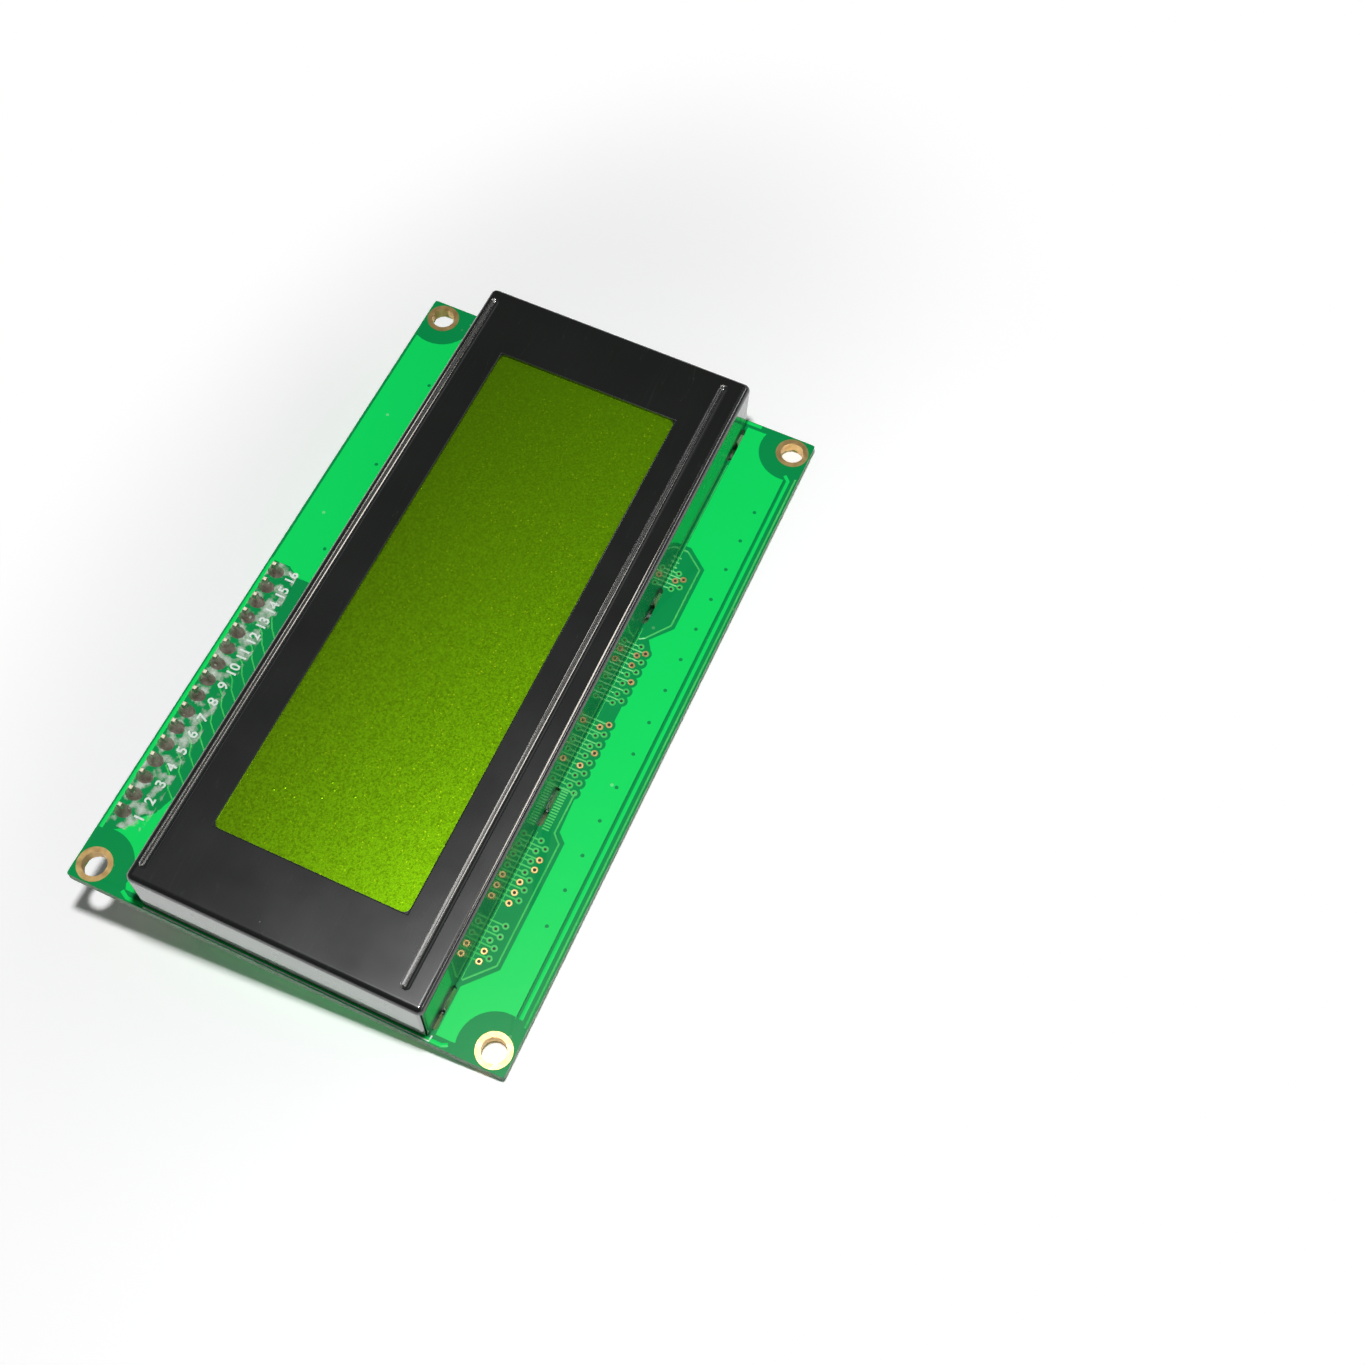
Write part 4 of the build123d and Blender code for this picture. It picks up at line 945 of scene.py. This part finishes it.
fine = bundle([(-10, 15.25), (8.7, 15.25), (10.55, 13.4), (29.65, 13.4), (39.3, 3.75)], 9, 0.36)
wide = []
for i, (via_x, via_y) in enumerate(zigzag(-9.6, -1.3, 1.1, -0.78, 8)):
    run, drop_x = 13.67 - 0.42 * i, -8.4 + 0.42 * i
    line = [(8.8, run), (0.26 + 0.17 * i, run), (drop_x, 4.75 - 0.17 * i), (drop_x, via_y + drop_x - via_x)]
    (wide if i in (4, 6) else fine).append(line + [(via_x, via_y)])
fine += bundle([(3.2, 8.2), (-4, 1), (-4, -4.4), (-6.4, -6.8), (-8.2, -7)], 7, 0.3)
fine += bundle([(30.4, 5.3), (28.3, 6.5), (20.7, 6.5), (13.3, -0.9), (11.6, -0.9)], 4, 0.32)
wide += [[(27.4, 5.55), (20.4, 5.55), (12.8, -2.1), (11.2, -2.8)], [(4.4, -4.4), (3.1, -2.9), (-2.9, -2.8)]]
wide += [
    [(12.8, -17.7), (11.5, -19), (11.5, -21.9), (9.9, -23.5), (-12.1, -23.5), (-12.7, -22.7), (-12.7, -19.3),
     (-13.2, -18.4)]]
fine += bundle([(5.6, -4.2), (3, -1.6), (-2.6, -1.6)], 2, 0.6)
fine += [[(-0.2 - 0.02 * i, -4.3 - 0.68 * i), (-2.5, -4.3 - 0.68 * i)] for i in range(5)]
for bus in (
        ([(-19.6, -8.45), (-14, -8.45), (-9.4, -13.05), (-9.4, -20.9)], 8, 0.55),
        ([(-20, -10.6), (-17.6, -10.6), (-14.9, -13.4), (-12.9, -13.7)], 3, 0.5),
        ([(15.6, -6.6), (21.3, -12.4), (21.3, -21.8)], 5, 0.5),
        ([(14, -10.2), (17.2, -13.6)], 3, 0.55),
        ([(-23, -4.6), (-26.8, -1.35), (-32, -1.35)], 4, 0.42),
        ([(-27.6, -4.4), (-29.2, -3.4), (-33.4, -3.4)], 3, 0.7),
        ([(-24.4, 7.4), (-26.8, 7.4), (-28.9, 9.5)], 4, 0.42),
        ([(-24.4, 6.1), (-28, 6.1), (-28.8, 5.4)], 2, 0.4),
        ([(-38.6, 6.2), (-40.8, 6.2), (-43.2, 8.6), (-43.2, 11.6)], 6, 0.45),
        ([(-37.6, 1), (-42.4, 5.8)], 3, 0.9)):
    fine += bundle(*bus)
fine += slanted(5, 165, 225, 15.8, 0.55, 12, -6.2) + slanted(4, 178, 222, -6.3, 0.6, 8, -20.9)
fine += slanted(3, 168, 212, -37.7, 0.5, 12, -21)
for spoke_set in (
        (2, 215, 325, stagger(-2, 14, 0.66, 0.7), 0.45), (1, 215, 325, stagger(-24.6, -11.4, 0.66, 0.5), 0.45),
        (5, 222, 325, stagger(23.3, 34.3, 0.66, -6.4), 0.4), (4, 225, 322, stagger(0.9, 10, 0.6, -20.9), 0.25),
        (3, 222, 318, stagger(-29.2, -20.5, 0.6, -20.9), 0.25)):
    fine += spokes(*spoke_set)
fine += [[(x, y), (13, y)] for x, y in zigzag(18, 11.1, -0.9, -0.93, 5)]
fine += [[(13.8 + 0.15 * i * i, 6.6 - 0.87 * i), (12.4 - 0.25 * i, 6.6 - 0.87 * i)] for i in range(5)]
fine += [[(x, y), (-13, y)] for x, y in zigzag(-9.8, 10.6, 1.1, -0.66, 13)]
belongs(ribbons("back_fine_traces", fine, 0.2, back_z, 0.03), mask_line)
belongs(ribbons("back_wide_traces", wide, 0.5, back_z, 0.03), mask_bright)
pale = [[(9.6, -7.7 - 0.34 * i), (15.4 - 0.52 * i, -7.7 - 0.34 * i)] for i in range(11)]
belongs(ribbons("back_pale_traces", pale, 0.2, back_z, 0.03), mask_pale)

# White print on the back: brackets, boxes, rings beside the drops and plain numbers
print_lines = []
for name in numbered("ladder_resistor", 5):
    print_lines += brackets_round(name, 2.6, 1.12)
print_lines += brackets_round("clock_resistor", 2.5, 1.25)
for name in numbered("lamp_resistor", 2):
    print_lines += brackets_round(name, 1.2, 3.1)
for corners in (
        (-44.7, 0.4, -39.6, 2.8), (-42.3, -2.9, -36.6, -0.3), (36.4, -14.4, 39.2, -8.6), (29.1, -17.3, 34.8, -14.7)):
    print_lines += brackets(*corners)
print_lines += [box(21.6, -14.2, 26.8, -9.2), [(21.6, -11.7), (26.8, -11.7)], [(24.2, -9.2), (24.2, -14.2)]]
notch = circle(32.05, -8.7, 0.5, 8, 180, 360)
print_lines.append([(30.6, -8.7), (31.5, -8.7), *notch, (33.5, -8.7), (33.5, -14.3), (30.6, -14.3), (30.6, -8.7)])
for x, y in ((-38, -3.9), (39.9, -10.2), (32.9, -18.4)):
    print_lines += [[(x - 0.55, y), (x + 0.55, y)], [(x, y - 0.55), (x, y + 0.55)]]
for x, y in ((-39.9, -22.2), (-40.7, -24.7)):
    print_lines.append(circle(x, y, 1.3, 24) + [(x + 1.3, y)])
ring_shift, ring_gap = -0.25, 0.12
for x, y, radius in drops.values():
    x, y, radius = x + ring_shift, y + ring_shift, radius + ring_gap
    print_lines.append(circle(x, y, radius, 48) + [(x + radius, y)])
belongs(ribbons("back_print", print_lines, 0.26, back_copper - mask_skin, ink_rise), ink)
clock = middle("clock_resistor")
back_words = [("16", 1.2, 28, 1.5, 0)]
back_words += upright(1.3, ("2", 2.6, 11.2), ("5", 22.2, 3.2), ("4", -0.4, -5.4), ("3", -30.6, -5.6))
for i, name in enumerate(numbered("ladder_resistor", 5)):
    back_words += upright(1.25, (str(i + 1), middle(name).x - 3.7, middle(name).y))
back_words += upright(
    1.25, ("6", clock.x, clock.y - 2.4), ("9", 37.8, 12.8), ("8", 37.8, 9.6), ("7", 20.6, -10.4), ("1", -45.8, 1.7),
    ("2", -43.4, -1.8), ("1", -42, -22.3), ("2", -42.8, -24.8), ("3", 40.4, -11.9), ("4", 28, -16.3))
back_words.append(("8", 32.05, -11.6, 1.1, 90))
belongs(printed("back_numbers", back_words, back_copper - 2 * mask_skin, -1), ink)

# White print on the adapter: frames round its parts, a long line beside the header joints and plain numbers
adapter_lines = [[(-0.2, 29), (-0.2, 26.7), (-37.6, 26.7)], box(-40.3, 26.7, -37.7, 29)]
for i, name in enumerate(numbered("adapter_resistor", 7) + ["decoupling_capacitor", "power_lamp"]):
    adapter_lines += brackets_round(name, 2.4, 1.15) if 4 <= i < 7 else brackets_round(name, 1.12, 2.35)
adapter_lines += [
    [(-28.4, 25.6), (-27.4, 25.6), (-27.4, 17.8), (-35.4, 17.8)],
    [(-40, 26.2), (-39.4, 26.2), (-39.4, 15.3), (-41, 15.3)],
    [(-17.2, 14.9), (-20.2, 14.9)], [(-21.4, 14.9), (-24.8, 14.9)],
    [(-14.8, 25.9), (-14.8, 15.4)], [(-2.6, 17.8), (-1.2, 17.8)],
    [(-7, 24.3), (-7.8, 24.3), (-7.8, 23.6)], [(-4.6, 24.3), (-3.8, 24.3)],
    [(-7.8, 21.2), (-7.8, 20.6), (-7, 20.6)],
]
belongs(ribbons("adapter_print", adapter_lines, 0.24, adapter_z, ink_rise), ink)
adapter_words = upright(1.1, ("0", -28.95, 11.75), ("1", -30.9, 11.75), ("2", -32.85, 11.75))
belongs(printed("adapter_numbers", adapter_words, adapter_z - 2 * mask_skin, -1), ink)


# Floor: a sheet of white paper that slopes under the module and fades into a pure white backdrop
floor_slope, floor_y, floor_z = radians(10.5), -0.03, -0.00002
deselect()
bpy.ops.mesh.primitive_plane_add(size=4, location=(0, 0, 0))
floor = bpy.context.object
floor.name = "floor"
floor.data.transform(Matrix.Translation((0, floor_y, floor_z)) @ Matrix.Rotation(-floor_slope, 4, "X"))
paper = bpy.data.materials.new("white_paper")
paper.use_nodes = True
tree = paper.node_tree
tree.nodes.clear()
place = add_node(tree, "TexCoord").outputs["Object"]
oval = add_node(tree, "Mapping", Vector=place, Scale=(0.62, 1, 1))
reach = tree.nodes.new("ShaderNodeVectorMath")
reach.operation = "LENGTH"
put(tree, reach.inputs[0], oval.outputs["Vector"])
distance = reach.outputs["Value"]
outwards = add_node(tree, "MapRange", Value=distance, From_Min=0.03, From_Max=0.075).outputs["Result"]
fade = add_node(tree, "MapRange", Value=distance, From_Min=0.045, From_Max=0.08, To_Min=0.02)
fade.interpolation_type = "SMOOTHSTEP"
shade = add_node(tree, "BsdfDiffuse", Color=mix_colours(tree, outwards, (1.12, 1.12, 1.125, 1), (1.3, 1.3, 1.3, 1)))
white = add_node(tree, "Emission", Color=(1, 1, 1, 1))
sheet = mix_shaders(tree, fade.outputs["Result"], shade, white)

# The paper is there for the camera and for reflections alone, and only from above
ray = add_node(tree, "LightPath").outputs
seen = reckon(tree, "MAXIMUM", ray["Is Camera Ray"], ray["Is Glossy Ray"])
above = reckon(tree, "SUBTRACT", 1, add_node(tree, "NewGeometry").outputs["Backfacing"])
choice = mix_shaders(tree, reckon(tree, "MULTIPLY", seen, above), add_node(tree, "BsdfTransparent"), sheet)
add_node(tree, "OutputMaterial", Surface=choice.outputs[0])
floor.data.materials.append(paper)

# World: a weak fill, and pure white where the camera sees it
world = bpy.data.worlds.new("studio")
bpy.context.scene.world = world
world.use_nodes = True
tree = world.node_tree
tree.nodes.clear()
fill = add_node(tree, "Background", Color=(0.97, 0.985, 1, 1), Strength=0.08)
backdrop = add_node(tree, "Background", Color=(1, 1, 1, 1), Strength=1)
choice = mix_shaders(tree, add_node(tree, "LightPath").outputs["Is Camera Ray"], fill, backdrop)
add_node(tree, "OutputWorld", Surface=choice.outputs[0])


def lamp(name, place, aim, size, power, height=None):
    """A round area lamp, or a bank with a height, that points at a spot, in metres."""
    data = bpy.data.lights.new(name, "AREA")
    data.shape = "RECTANGLE" if height else "DISK"
    data.size = size
    if height:
        data.size_y = height
    data.energy = power
    piece = in_scene(name, data)
    place = Vector(place)
    turn = (Vector(aim) - place).to_track_quat("-Z", "Y").to_matrix().to_4x4()
    piece.matrix_world = Matrix.Translation(place) @ turn
    return piece


lamp("key", (-0.03, -0.022, 0.28), (-0.02, -0.01, 0), 0.024, 0.63)
lamp("under", (0.03, 0.02, -0.35), (0, 0, 0), 0.2, 0.45)
lamp("strip", (0.25, -0.42, 0.4), (0, 0, 0), 1.4, 0.62, 0.035)
lamp("rear_bank", (-0.1, 0.6, 0.14), (0, 0, 0), 1.2, 0.09, 0.16)

# A warm lamp that only the pressed lines mirror
streak = lamp("streak", (0.116, -0.055, 0.28), (0.0, 0.0, 0.011), 0.26, 0.17, 0.036)
streak.data.color = (1.0, 0.93, 0.84)
streak.visible_diffuse = False
streak.light_linking.receiver_collection = pressed_lines

# Camera, by its own right, up and back directions and the place where it stands
camera_data = bpy.data.cameras.new("camera")
camera_data.sensor_width = 36
camera_data.lens = 47.744
camera_data.shift_x = 0.0357
camera_data.shift_y = -0.0482
camera_data.clip_start = 0.01
camera = in_scene("camera", camera_data)
right = (0.41579, -0.90925, 0.01947, 0)
up = (0.79566, 0.37405, 0.47646, 0)
back = (-0.44051, -0.18262, 0.87898, 0)
stand = (-0.0929, -0.06227, 0.21355, 1)
camera.matrix_world = Matrix((right, up, back, stand)).transposed()
bpy.context.scene.camera = camera
bpy.context.scene.view_settings.view_transform = "Standard"
